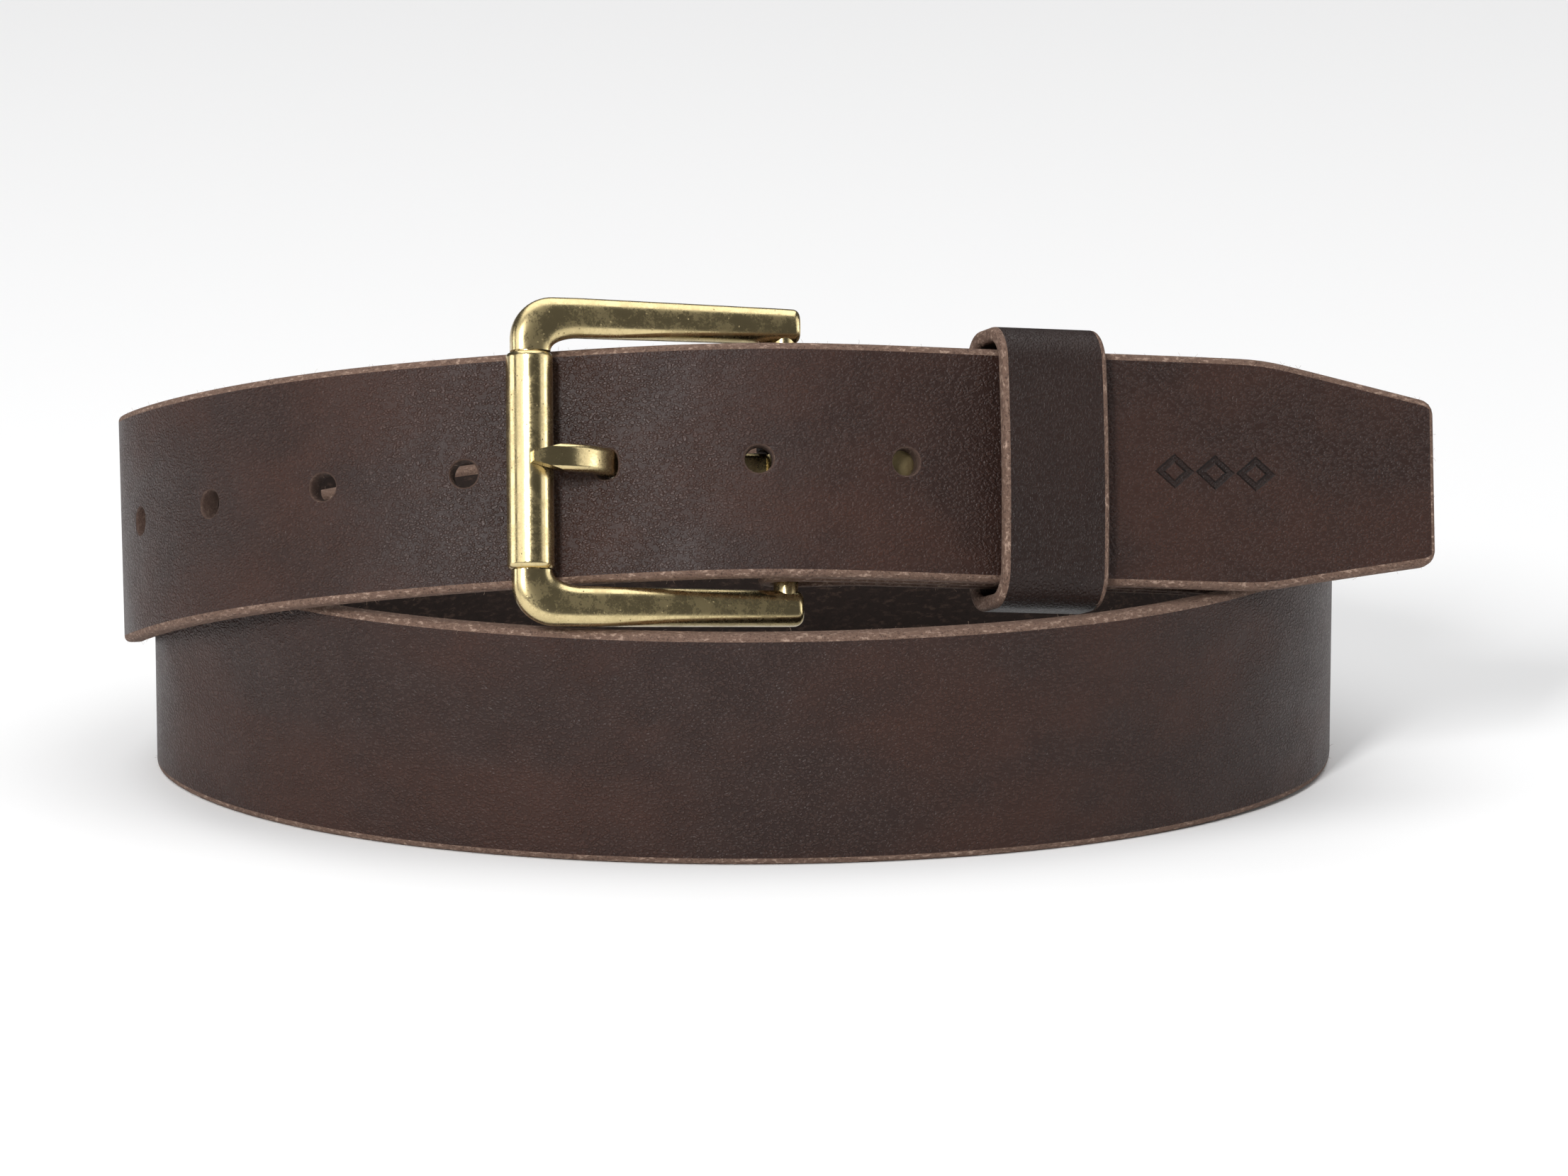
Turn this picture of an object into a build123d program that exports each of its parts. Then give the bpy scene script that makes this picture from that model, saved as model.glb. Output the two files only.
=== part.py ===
"""Leather belt: buckled and coiled in two turns, standing on its edge.

Millimetres, +Z up.  The origin is on the surface that the belt stands on, under the middle of
its bounding box.  +X runs along the coil's long side, towards the belt's pointed end, and -Y is
the side that the buckle faces.
"""
from build123d import *

import math
import os

import numpy as np

# ---------------------------------------------------------------- driving dimensions: leather
strap_width = 40.0
strap_thickness = 3.8
standing_trim = 0.06          # the lowest edge is pressed flat by this much where it stands
edge_bevel = 1.2              # edge bevel on a full-thickness edge, across the strap's face
bevel_share = 0.3             # bevel depth as a share of the leather's thickness

coil_width = 208.0            # outside width of the ring that stands on the surface
coil_depth = 152.0            # outside depth of that ring
lay_gap = 2.5                 # free gap between two turns that lie side by side

hole_pitch = 25.0
hole_count = 7
hole_radius = 2.35
first_hole_from_tip = 96.0
worn_hole = 3                 # the hole that the prong is in, counted from the tip

tip_length = 31.0             # length of the tapered end
tip_width = 28.5
tip_corner = 2.2

# ---------------------------------------------------------------- fold at the buckle end
skived_thickness = 2.4        # leather thinned where it is folded round the heel bar
skive_run = 10.0              # length over which it thins
fold_length = 78.0            # free end of the fold to the heel bar's centre
fold_gap = 1.5                # room between the folded layers, filled by the snaps
fold_settle = 15.0            # length over which the layers come together behind the bar
tail_gap = 1.2                # room between the tail and the folded end under it
tongue_slot_length = 13.0     # reach of the prong's slot along each layer
leather_clearance = 0.3       # leather to metal that moves against it
roller_gap = 0.5              # tail's face to the roller

# ---------------------------------------------------------------- buckle
bar_spacing = 44.6            # heel bar's centre to front bar's centre
heel_bar_radius = 2.1
front_bar_radius = 2.4
window_clearance = 1.2        # strap's edge to the frame's rail, each side
rail_width_front = 6.8        # rail's width at the roller end
rail_width_heel = 6.0
rail_depth = 5.0
front_overhang = 2.9          # front bar's centre to the frame's outer end
heel_overhang = 2.8
corner_inner_radius = 0.8     # inside the rounded corner at the roller end
rail_round = 2.1              # rounding of the rail's long edges
rail_end_round = 1.2          # rounding of its free end

roller_radius = 4.0
roller_length = 37.0
roller_round = 0.9            # rounding of the roller's rolled ends
roller_fit = 0.08             # radial running clearance of the roller on its bar
roller_end_play = 0.15

prong_width = 4.6
prong_thickness = 2.6
prong_round = 0.9             # rounding of the prong's long edges
prong_fit = 0.08              # radial running clearance of the prong's eye on the heel bar
prong_eye_wall = 1.7
prong_point = 5.5             # length of the pointed end
prong_rest_gap = 0.05         # prong's underside to the roller
tilt_play = 1.0               # degrees that the frame can lift off the strap
prong_play = 1.0              # degrees that the prong can lift off the roller
prong_reach = 30.5            # heel bar's centre to the worn hole, along the tail
prong_overhang = 0.8          # prong's tip past the front bar's centre
prong_climb = 1.9             # half the run over which the prong climbs through the worn hole
prong_climb_angle = 45.0      # and how steeply it climbs
prong_flat = 6.0              # length of the prong's end that lies along the roller
prong_sag = 0.5               # how far the prong's shank bows off a straight line
prong_blunt = 0.6             # half width of the prong's point
prong_eye_round = 0.4

# ---------------------------------------------------------------- keeper and snaps
keeper_from_bar = 45.0        # keeper's middle to the heel bar, along the tail
keeper_length = 19.0
keeper_thickness = 2.6
keeper_side_room = 1.5        # strap's edge to the keeper's inner face
keeper_face_room = 0.7        # layers to the keeper's inner faces
keeper_corner = 5.5
keeper_joint = 0.3            # butt joint between the keeper's ends
staple_span = 9.0
staple_wire = 0.9
staple_tuck = 2.4             # length of each clinched tip

snap_from_bar = (22.0, 68.0)
snap_cap_radius = 5.8
snap_cap_height = 0.9
snap_post_radius = 1.7
snap_post_wall = 0.4
snap_ring_radius = 5.0
snap_flange = 0.5
snap_play = 0.05              # clearance between the pieces of a snap

# ---------------------------------------------------------------- the strap's route
half_width = coil_width / 2 - strap_thickness / 2
half_depth = coil_depth / 2 - strap_thickness / 2
outer_side = 1 + (strap_thickness + lay_gap) / half_width
inner_side = 1 - (strap_thickness + lay_gap) / half_width

# Stations of the strap's centre line, from the pointed end on: shares of the ring's half width
# and half depth, height of the centre line in strap widths, and how far the strap's top leans
# inwards, in degrees.
tail_stations = [
    (1.165, -0.437, 1.412, 24.0),     # pointed end
    (0.785, -0.568, 1.512, 18.5),
    (0.416, -0.730, 1.608, 18.5),     # through the keeper
    (0.038, -0.852, 1.684, 21.0),     # over the heel bar
    (-0.350, -0.812, 1.624, 20.0),    # behind the roller
    (-0.716, -0.690, 1.490, 18.0),
    (-0.985, -0.330, 1.225, 8.0),
    (-outer_side, 0.060, 1.010, -1.5),    # left side, outside the ring
    (-0.955, 0.500, 0.915, -1.0),
    (-0.620, 0.850, 0.875, 0.0),
    (-0.120, 1.010, 0.862, 0.0),      # back, outside
    (0.360, 0.970, 0.860, 0.0),
    (0.760, 0.740, 0.820, 0.0),
    (0.960, 0.330, 0.650, 0.0),
]
ring_first_angle = 0.0        # the ring on the surface, from the right side round the front
ring_last_angle = 180.0
ring_steps = 8
ring_right_lift = 0.025       # the ring's right side is still this high, in strap widths
inner_stations = [
    (-0.900, 0.300, 0.500, 0.0),
    (-0.730, 0.520, 0.505, 0.0),
    (-0.480, 0.760, 0.520, 0.0),
    (-0.060, 0.880, 0.560, 0.0),      # back, inside
    (0.350, 0.840, 0.640, 0.0),
    (0.660, 0.665, 0.835, 0.0),
    (0.865, 0.330, 1.030, 0.0),
    (inner_side, -0.040, 1.210, 3.0),     # right side, inside
    (0.825, -0.380, 1.405, 10.0),
]

section_step = 9.0            # longest run between two sections of the strap
prong_spine_steps = 12
prong_way_start = 12.0        # the prong's way through the tail starts this far from the heel bar


def cubic_through(points):
    """Natural cubic spline through points, by chord length: returns knots and an evaluator."""
    pts = np.array(points, float)
    gaps = np.linalg.norm(np.diff(pts[:, :3], axis=0), axis=1)
    knots = np.concatenate([[0.0], np.cumsum(gaps)])
    count = len(pts)
    matrix = np.eye(count)
    right = np.zeros_like(pts)
    for i in range(1, count - 1):
        before, after = gaps[i - 1], gaps[i]
        matrix[i, i - 1:i + 2] = before, 2 * (before + after), after
        right[i] = 6 * ((pts[i + 1] - pts[i]) / after - (pts[i] - pts[i - 1]) / before)
    bend = np.linalg.solve(matrix, right)

    def at(u):
        i = int(np.clip(np.searchsorted(knots, u) - 1, 0, count - 2))
        h = gaps[i]
        a, b = (knots[i + 1] - u) / h, (u - knots[i]) / h
        curve = (a ** 3 - a) * bend[i] + (b ** 3 - b) * bend[i + 1]
        return a * pts[i] + b * pts[i + 1] + curve * h * h / 6

    return knots, at


def unit(v):
    return v / np.linalg.norm(v)


class Route:
    """A centre line that carries the strap's own directions, measured by length."""

    def __init__(self, points, samples=2400):
        knots, at = cubic_through(points)
        self.table = np.array([at(u) for u in np.linspace(0, knots[-1], samples)])
        steps = np.linalg.norm(np.diff(self.table[:, :3], axis=0), axis=1)
        self.run = np.concatenate([[0.0], np.cumsum(steps)])
        self.length = self.run[-1]

    def value(self, s):
        return np.array([np.interp(s, self.run, self.table[:, k]) for k in range(4)])

    def place(self, s):
        """Centre, direction along the strap, direction across it, and outward direction."""
        reach = 1.0
        here = self.value(s)
        low, high = max(s - reach, 0.0), min(s + reach, self.length)
        along = unit(self.value(high)[:3] - self.value(low)[:3])
        up = np.array([0.0, 0.0, 1.0])
        across = unit(up - up.dot(along) * along)
        out = np.cross(across, along)
        lean = math.radians(here[3])
        across = math.cos(lean) * across - math.sin(lean) * out
        return here[:3], along, across, np.cross(across, along)


def scaled(stations):
    return [(x * half_width, y * half_depth, z * strap_width, lean) for x, y, z, lean in stations]


def ring_points():
    points = []
    for i in range(ring_steps + 1):
        share = i / ring_steps
        angle = math.radians(ring_first_angle + (ring_last_angle - ring_first_angle) * share)
        lift = ring_right_lift * strap_width * max(0.0, 1 - 2 * share) ** 4
        points.append((half_width * math.cos(angle), -half_depth * math.sin(angle),
                       strap_width / 2 + lift, 0.0))
    return points


# Offsets inwards from the tail's centre line, at the folded end.
main_offset = strap_thickness / 2 + tail_gap + skived_thickness / 2
wrap_radius = heel_bar_radius + leather_clearance + skived_thickness / 2
bar_offset = main_offset + wrap_radius
fold_offset = main_offset + skived_thickness + fold_gap
roller_offset = strap_thickness / 2 + roller_gap + roller_radius

tail_route = Route(scaled(tail_stations))

worn_hole_run = first_hole_from_tip + (worn_hole - 1) * hole_pitch
bar_run = worn_hole_run - prong_reach
keeper_run = bar_run - keeper_from_bar


def behind_tail(s, offset):
    centre, along, across, out = tail_route.place(s)
    lean = tail_route.value(s)[3]
    return (*(centre - offset * out), lean)


# The folded end lies behind the tail from the keeper's far side to the heel bar.
follow_from = keeper_run - keeper_length / 2
follow_steps = 6
follow_points = [behind_tail(follow_from + (bar_run - follow_from) * i / follow_steps, main_offset)
                 for i in range(follow_steps + 1)]
belt_points = scaled(tail_stations) + ring_points() + scaled(inner_stations) + follow_points
belt_route = Route(belt_points)


def leather_width(s):
    """Strap's width at a length from the pointed end."""
    if s >= tip_length:
        return strap_width
    width = tip_width + (strap_width - tip_width) * s / tip_length
    if s < tip_corner:
        width -= 2 * (tip_corner - math.sqrt(tip_corner ** 2 - (tip_corner - s) ** 2))
    return width


def leather_thickness(to_bar):
    """Thickness at a length before the heel bar: thinned where the strap is folded."""
    share = (to_bar - fold_length) / skive_run
    share = min(1.0, max(0.0, share))
    return skived_thickness + (strap_thickness - skived_thickness) * share


def section(centre, across, out, width, thick):
    """Bevelled cross-section of the strap."""
    side, face = width / 2, thick / 2
    depth = bevel_share * thick
    reach = edge_bevel * thick / strap_thickness
    corners = [(side, face - depth), (side - reach, face), (-side + reach, face), (-side, face - depth),
               (-side, -face + depth), (-side + reach, -face), (side - reach, -face), (side, -face + depth)]
    points = [Vector(*(centre + a * across + b * out)) for a, b in corners]
    return Wire.make_polygon(points, close=True)


def strap_sections():
    rows = []
    length = belt_route.length
    runs = [0.0, 0.25 * tip_corner, 0.6 * tip_corner, tip_corner]
    steps = math.ceil((tip_length - tip_corner) / section_step)
    runs += [tip_corner + (tip_length - tip_corner) * i / steps for i in range(1, steps)]
    steps = math.ceil((length - tip_length) / section_step)
    runs += [tip_length + (length - tip_length) * i / steps for i in range(steps + 1)]
    for s in runs:
        centre, along, across, out = belt_route.place(s)
        rows.append(section(centre, across, out, leather_width(s), leather_thickness(length - s)))

    # round the heel bar
    centre, along, across, out = belt_route.place(length)
    bar_centre = centre - wrap_radius * out
    turn_steps = 8
    for i in range(1, turn_steps):
        angle = math.pi * i / turn_steps
        away = math.cos(angle) * out + math.sin(angle) * along
        rows.append(section(bar_centre + wrap_radius * away, across, away, strap_width, skived_thickness))

    # back along the inner face
    back_steps = 12
    for i in range(back_steps + 1):
        reach = fold_length * i / back_steps
        centre, along, across, out = belt_route.place(length - reach)
        closing = min(1.0, reach / fold_settle)
        closing = closing * closing * (3 - 2 * closing)
        apart = 2 * wrap_radius + (skived_thickness + fold_gap - 2 * wrap_radius) * closing
        rows.append(section(centre - apart * out, across, -out, strap_width, skived_thickness))
    return rows


def place_of(centre, along, across, out):
    """Location whose local x runs along the strap, y outwards and z across it."""
    return Plane(origin=Vector(*centre), x_dir=Vector(*along), z_dir=Vector(*across)).location


# ---------------------------------------------------------------- where the buckle sits
bar_place = belt_route.place(belt_route.length)
bar_centre = bar_place[0] - wrap_radius * bar_place[3]


def roller_centre_at(s):
    centre, along, across, out = tail_route.place(s)
    return centre + roller_offset * out


def roller_run():
    """Length along the tail at which the roller is one bar spacing from the heel bar."""
    low, high = bar_run + 0.7 * bar_spacing, bar_run + 1.2 * bar_spacing
    for _ in range(40):
        middle = (low + high) / 2
        if np.linalg.norm(roller_centre_at(middle) - bar_centre) < bar_spacing:
            low = middle
        else:
            high = middle
    return low


frame_across = bar_place[2]
to_roller = roller_centre_at(roller_run()) - bar_centre
frame_along = unit(to_roller - to_roller.dot(frame_across) * frame_across)
frame_out = np.cross(frame_across, frame_along)
buckle_location = place_of(bar_centre, frame_along, frame_across, frame_out)

window_half = strap_width / 2 + window_clearance
roller_half = roller_length / 2 + roller_end_play


def in_buckle(point):
    """A point's place in the buckle's own frame: along, outwards, across."""
    offset = np.array(point) - bar_centre
    return offset.dot(frame_along), offset.dot(frame_out), offset.dot(frame_across)


# ---------------------------------------------------------------- pieces
def box_between(low, high):
    size = [b - a for a, b in zip(low, high)]
    return Location(Vector(*low)) * Box(*size, align=(Align.MIN, Align.MIN, Align.MIN))


def post(location, radius, y_low, y_high):
    """Round post whose axis is the local y of a location."""
    turned = Plane(origin=(0, y_low, 0), x_dir=(1, 0, 0), z_dir=(0, 1, 0)).location
    disc = Cylinder(radius, y_high - y_low, align=(Align.CENTER, Align.CENTER, Align.MIN))
    return location * turned * disc


def bar(x, radius, half):
    return Location((x, 0, 0)) * Cylinder(radius, 2 * half)


def prong_profile(grow=0.0):
    """Side view of the prong in the buckle's frame; grow widens it all round."""
    half = prong_thickness / 2 + grow
    top = roller_radius + prong_rest_gap + prong_thickness / 2
    hole_x, hole_y, _ = in_buckle(tail_route.place(worn_hole_run)[0])
    end = bar_spacing + prong_overhang + grow
    rise = prong_climb * math.tan(math.radians(prong_climb_angle))
    points = [(0.0, -prong_sag / 2), (hole_x / 2, (hole_y - rise) / 2), (hole_x - prong_climb, hole_y - rise),
              (hole_x + prong_climb, hole_y + rise), (bar_spacing - prong_flat, top - prong_sag / 2), (end, top)]
    spine = Spline(*points, tangents=[(1, 0), (1, 0)])
    shares = [i / prong_spine_steps for i in range(prong_spine_steps + 1)]
    upper, under = [], []
    for share in shares:
        at = spine.position_at(share)
        way = spine.tangent_at(share)
        upper.append(Vector(at.X - half * way.Y, at.Y + half * way.X))
        under.append(Vector(at.X + half * way.Y, at.Y - half * way.X))
    edges = [Spline(*upper), Line(upper[-1], under[-1]), Spline(*under), Line(under[0], upper[0])]
    return make_face(edges)


def make_prong():
    shank = extrude(prong_profile(), amount=prong_width / 2, both=True)
    long_edges = [e for e in shank.edges() if e.length > bar_spacing / 2]
    shank = fillet(long_edges, prong_round)
    for side in (-1, 1):
        tip_x = bar_spacing + prong_overhang
        wedge = Polyline((tip_x - prong_point, side * prong_width / 2), (tip_x + 1, side * prong_blunt),
                         (tip_x + 1, side * prong_width), (tip_x - prong_point, side * prong_width), close=True)
        cut = extrude(make_face(Plane.XZ * wedge), amount=2 * bar_spacing, both=True)
        shank = shank - cut
    eye = bar(0, heel_bar_radius + prong_fit + prong_eye_wall, prong_width / 2)
    eye = fillet(eye.edges(), prong_eye_round)
    hole = bar(0, heel_bar_radius + prong_fit, prong_width)
    return (shank + eye) - hole


def rail_section(plane, width):
    return plane * RectangleRounded(rail_depth, width, rail_round)


def make_rail():
    """One side of the frame: straight rail, rounded corner and shoulder."""
    corner_z = window_half - corner_inner_radius
    corner_x = bar_spacing + front_overhang - rail_width_front - corner_inner_radius
    heel = Plane(origin=(-heel_overhang, 0, window_half + rail_width_heel / 2), x_dir=(0, 1, 0), z_dir=(1, 0, 0))
    front = Plane(origin=(corner_x, 0, window_half + rail_width_front / 2), x_dir=(0, 1, 0), z_dir=(1, 0, 0))
    rail = loft([rail_section(heel, rail_width_heel), rail_section(front, rail_width_front)])
    rail = fillet(rail.faces().sort_by(Axis.X)[0].edges(), rail_end_round)
    turn = Axis((corner_x, 0, corner_z), (0, 1, 0))
    section_face = rail_section(front, rail_width_front)
    corner = revolve(section_face, axis=turn, revolution_arc=90)
    shoulder_x = bar_spacing + front_overhang - rail_width_front / 2
    end = Plane(origin=(shoulder_x, 0, corner_z), x_dir=(0, 1, 0), z_dir=(0, 0, -1))
    shoulder = extrude(rail_section(end, rail_width_front), amount=corner_z - roller_half)
    return rail + corner + shoulder


def make_frame():
    rail = make_rail()
    frame = rail + mirror(rail, about=Plane.XY)
    frame += bar(0, heel_bar_radius, window_half + rail_width_heel / 2)
    frame += bar(bar_spacing, front_bar_radius, window_half)
    return frame


def make_roller():
    tube = bar(bar_spacing, roller_radius, roller_length / 2)
    tube = fillet(tube.edges(), roller_round)
    return tube - bar(bar_spacing, front_bar_radius + roller_fit, roller_length)


def make_strap():
    strap = Solid.make_loft(strap_sections(), ruled=True)
    for i in range(hole_count):
        if i + 1 == worn_hole:
            continue
        location = place_of(*tail_route.place(first_hole_from_tip + i * hole_pitch))
        strap = strap - post(location, hole_radius, -strap_thickness, strap_thickness)

    # the prong's way through the tail, over its whole travel
    for turn in (0.0, (tilt_play + prong_play) / 2, tilt_play + prong_play):
        way = extrude(prong_profile(leather_clearance), amount=prong_width / 2 + leather_clearance, both=True)
        way = way & box_between((prong_way_start, -bar_spacing, -strap_width),
                                (bar_spacing + 1, bar_spacing, strap_width))
        strap = strap - buckle_location * Rotation(0, 0, turn) * way

    # the slot through the fold for the prong's eye
    slot_half = prong_width / 2 + leather_clearance
    slot = box_between((-tongue_slot_length, -bar_offset, -slot_half),
                       (bar_offset, wrap_radius + skived_thickness / 2 + tail_gap / 2, slot_half))
    strap = strap - place_of(bar_centre, *bar_place[1:]) * slot
    return strap


def keeper_place():
    return place_of(*tail_route.place(keeper_run))


def keeper_bounds():
    """The keeper's inner faces: outward, inward and sideways, from the tail's centre line."""
    front = strap_thickness / 2 + keeper_face_room
    back = -(fold_offset + skived_thickness / 2 + keeper_face_room)
    side = strap_width / 2 + keeper_side_room
    return front, back, side


def make_staple():
    front, back, side = keeper_bounds()
    half = staple_wire / 2
    outside = back - keeper_thickness
    staple = box_between((-half, outside - staple_wire, -staple_span / 2),
                         (half, outside, staple_span / 2))
    for sign in (-1, 1):
        z_leg = sign * (staple_span / 2 - half)
        staple += box_between((-half, outside - staple_wire, z_leg - half), (half, back, z_leg + half))
        z_inner = z_leg - sign * staple_tuck
        low, high = sorted((z_leg, z_inner))
        staple += box_between((-half, back - staple_wire, low), (half, back, high))
    return keeper_place() * staple


def make_keeper(staple):
    front, back, side = keeper_bounds()
    middle = (front + back) / 2
    inner = Pos(0, middle, 0) * Box(2 * keeper_length, front - back, 2 * side)
    outer = Pos(0, middle, 0) * Box(keeper_length, front - back + 2 * keeper_thickness,
                                    2 * (side + keeper_thickness))
    outer = fillet(outer.edges().filter_by(Axis.X), keeper_corner)
    inner = fillet(inner.edges().filter_by(Axis.X), keeper_corner - keeper_thickness)
    ring = outer - inner
    ring = ring - Pos(0, back - keeper_thickness / 2, 0) * Box(2 * keeper_length, 2 * keeper_thickness, keeper_joint)
    return keeper_place() * ring - staple


def snap_locations():
    return [place_of(*belt_route.place(belt_route.length - reach)) for reach in snap_from_bar]


def make_snaps():
    """Caps, sockets, studs and posts of the two snaps, as four groups of solids."""
    main = skived_thickness / 2
    fold_front = -main - fold_gap
    fold_back = fold_front - skived_thickness
    bore = snap_post_radius - snap_post_wall
    groups = {"snap_caps": [], "snap_sockets": [], "snap_studs": [], "snap_posts": []}
    for location in snap_locations():
        cap = post(location, snap_cap_radius, main, main + snap_cap_height)
        cap += post(location, snap_post_radius, -main - snap_flange, main)
        cap += post(location, snap_post_radius + snap_post_wall, -main - snap_flange, -main - snap_flange / 2)
        groups["snap_caps"].append(cap)

        socket = post(location, snap_ring_radius, fold_front + snap_flange + snap_play, -main)
        socket = socket - post(location, snap_post_radius + snap_play, -strap_width, strap_width)
        inside = snap_post_radius + snap_post_wall + snap_play
        socket = socket - post(location, inside, -strap_width, -main - snap_flange / 2 + snap_play)
        groups["snap_sockets"].append(socket)

        stud = post(location, snap_ring_radius, fold_front, fold_front + snap_flange)
        stud += post(location, snap_post_radius, fold_front, -main - snap_flange - snap_play)
        stud = stud - post(location, bore + snap_play, -strap_width, strap_width)
        groups["snap_studs"].append(stud)

        back = post(location, snap_ring_radius, fold_back - snap_flange, fold_back)
        back += post(location, bore, fold_back, -main - snap_flange - snap_play)
        groups["snap_posts"].append(back)
    return groups


def main():
    os.makedirs("parts", exist_ok=True)
    strap = make_strap()
    ground = Box(2 * coil_width, 2 * coil_depth, strap_width, align=(Align.CENTER, Align.CENTER, Align.MAX))
    strap = strap - Pos(0, 0, standing_trim) * ground
    snaps = make_snaps()
    for shapes in snaps.values():
        for shape in shapes:
            strap = strap - shape

    box = strap.bounding_box()
    home = Location((-(box.min.X + box.max.X) / 2, -(box.min.Y + box.max.Y) / 2, -box.min.Z))
    staple = make_staple()
    pieces = {
        "strap": [strap],
        "buckle_frame": [buckle_location * make_frame()],
        "roller": [buckle_location * make_roller()],
        "prong": [buckle_location * make_prong()],
        "keeper_loop": [make_keeper(staple)],
        "keeper_staple": [staple],
    }
    pieces.update(snaps)
    for name, shapes in pieces.items():
        solids = [solid for shape in shapes for solid in shape.solids()]
        placed = [home * solid for solid in solids]
        node = placed[0] if len(placed) == 1 else Compound(children=placed)
        export_step(node, f"parts/{name}.step")
    print("belt from heel bar to point", round(belt_route.length, 1))
    print("origin moved by", *(round(value, 6) for value in home.position))


if __name__ == "__main__":
    main()
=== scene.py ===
import math

import bpy
import numpy as np
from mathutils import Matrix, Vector


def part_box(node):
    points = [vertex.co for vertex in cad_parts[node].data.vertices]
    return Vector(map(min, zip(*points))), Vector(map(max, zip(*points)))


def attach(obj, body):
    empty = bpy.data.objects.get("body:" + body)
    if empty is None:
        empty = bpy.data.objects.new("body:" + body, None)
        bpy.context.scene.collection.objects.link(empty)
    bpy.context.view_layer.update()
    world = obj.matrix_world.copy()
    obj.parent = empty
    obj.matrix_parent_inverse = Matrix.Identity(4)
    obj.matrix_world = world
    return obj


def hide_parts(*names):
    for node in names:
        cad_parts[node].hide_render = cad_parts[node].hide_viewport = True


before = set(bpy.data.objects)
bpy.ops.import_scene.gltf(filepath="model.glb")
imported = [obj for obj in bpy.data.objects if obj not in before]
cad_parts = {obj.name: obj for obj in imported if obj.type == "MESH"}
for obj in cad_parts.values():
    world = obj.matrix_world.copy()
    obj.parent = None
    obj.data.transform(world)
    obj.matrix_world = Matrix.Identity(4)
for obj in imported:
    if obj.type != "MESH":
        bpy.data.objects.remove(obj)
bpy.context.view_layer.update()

bl_info = {
    "name": "Roller buckle belt",
    "version": (1, 0, 0),
    "blender": (4, 5, 0),
    "location": "View3D > Sidebar > Belt",
    "description": "Builds a coiled leather belt with a brass roller buckle",
    "category": "Object",
}


# ---------------------------------------------------------------- settings
def length(name, description, default):
    return bpy.props.FloatProperty(name=name, description=description, default=default,
                                   subtype="DISTANCE", unit="LENGTH", precision=5)


def colour(name, description, default):
    return bpy.props.FloatVectorProperty(name=name, description=description, default=default,
                                         subtype="COLOR", size=3, min=0.0, max=1.0)


def power(name, description, default):
    return bpy.props.FloatProperty(name=name, description=description, default=default,
                                   subtype="POWER", unit="POWER")


def whole(name, description, default, **limits):
    return bpy.props.IntProperty(name=name, description=description, default=default, **limits)


def number(name, description, default):
    return bpy.props.FloatProperty(name=name, description=description, default=default)


class BeltStrapSizes(bpy.types.PropertyGroup):
    width: length("Width", "Width of the strap", 0.040)
    thickness: length("Thickness", "Thickness of the leather", 0.0038)
    bevel: length("Edge bevel", "Reach of the edge bevel across the face", 0.0012)
    coil_width: length("Coil width", "Outside width of the ring on the surface", 0.208)
    coil_depth: length("Coil depth", "Outside depth of the ring on the surface", 0.152)
    lay_gap: length("Lay gap", "Free gap between two turns side by side", 0.0025)
    hole_pitch: length("Hole pitch", "Distance between two holes", 0.025)
    hole_radius: length("Hole radius", "Radius of a punched hole", 0.00235)
    first_hole: length("First hole", "First hole's centre to the pointed end", 0.096)
    tip_length: length("Tip length", "Length of the tapered end", 0.031)
    tip_width: length("Tip width", "Width of the squared-off end", 0.0285)
    tip_corner: length("Tip corner", "Rounding of the end's corners", 0.0022)
    skived: length("Skived thickness", "Thickness of the folded end", 0.0024)
    skive_run: length("Skive run", "Length over which the leather thins", 0.010)
    fold_length: length("Fold length", "Free end of the fold to the heel bar", 0.078)
    fold_gap: length("Fold gap", "Room between the folded layers", 0.0015)
    fold_settle: length("Fold settle", "Length over which the folded layers close", 0.015)
    tail_gap: length("Tail gap", "Room between the tail and the fold", 0.0012)
    bar_radius: length("Heel bar radius", "Radius of the bar inside the fold", 0.0021)
    clearance: length("Clearance", "Leather to moving metal", 0.0003)
    slot_length: length("Prong slot", "Reach of the prong's slot along each layer", 0.013)
    prong_width: length("Prong width", "Width of the prong", 0.0046)
    section_step: length("Section step", "Run between two sections of the mesh", 0.0022)
    hole_count: whole("Holes", "Number of holes", 7, min=1)
    worn_hole: whole("Worn hole", "Hole the prong is in, from the tip", 3)


class BeltKeeperSizes(bpy.types.PropertyGroup):
    prong_reach: length("Prong reach", "Heel bar to the worn hole along the tail", 0.0305)
    from_bar: length("From bar", "Keeper's middle to the heel bar", 0.0450)
    length: length("Length", "Length of the keeper along the strap", 0.019)
    thickness: length("Thickness", "Thickness of the keeper's leather", 0.0026)
    side_room: length("Side room", "Strap's edge to the keeper", 0.0015)
    face_room: length("Face room", "Layers to the keeper's inner faces", 0.0007)
    corner: length("Corner", "Outer rounding of the keeper's corners", 0.0062)
    bulge: length("Bulge", "How far the front face bows outwards", 0.0012)
    joint: length("Joint", "Butt joint between the keeper's ends", 0.0003)


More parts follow.
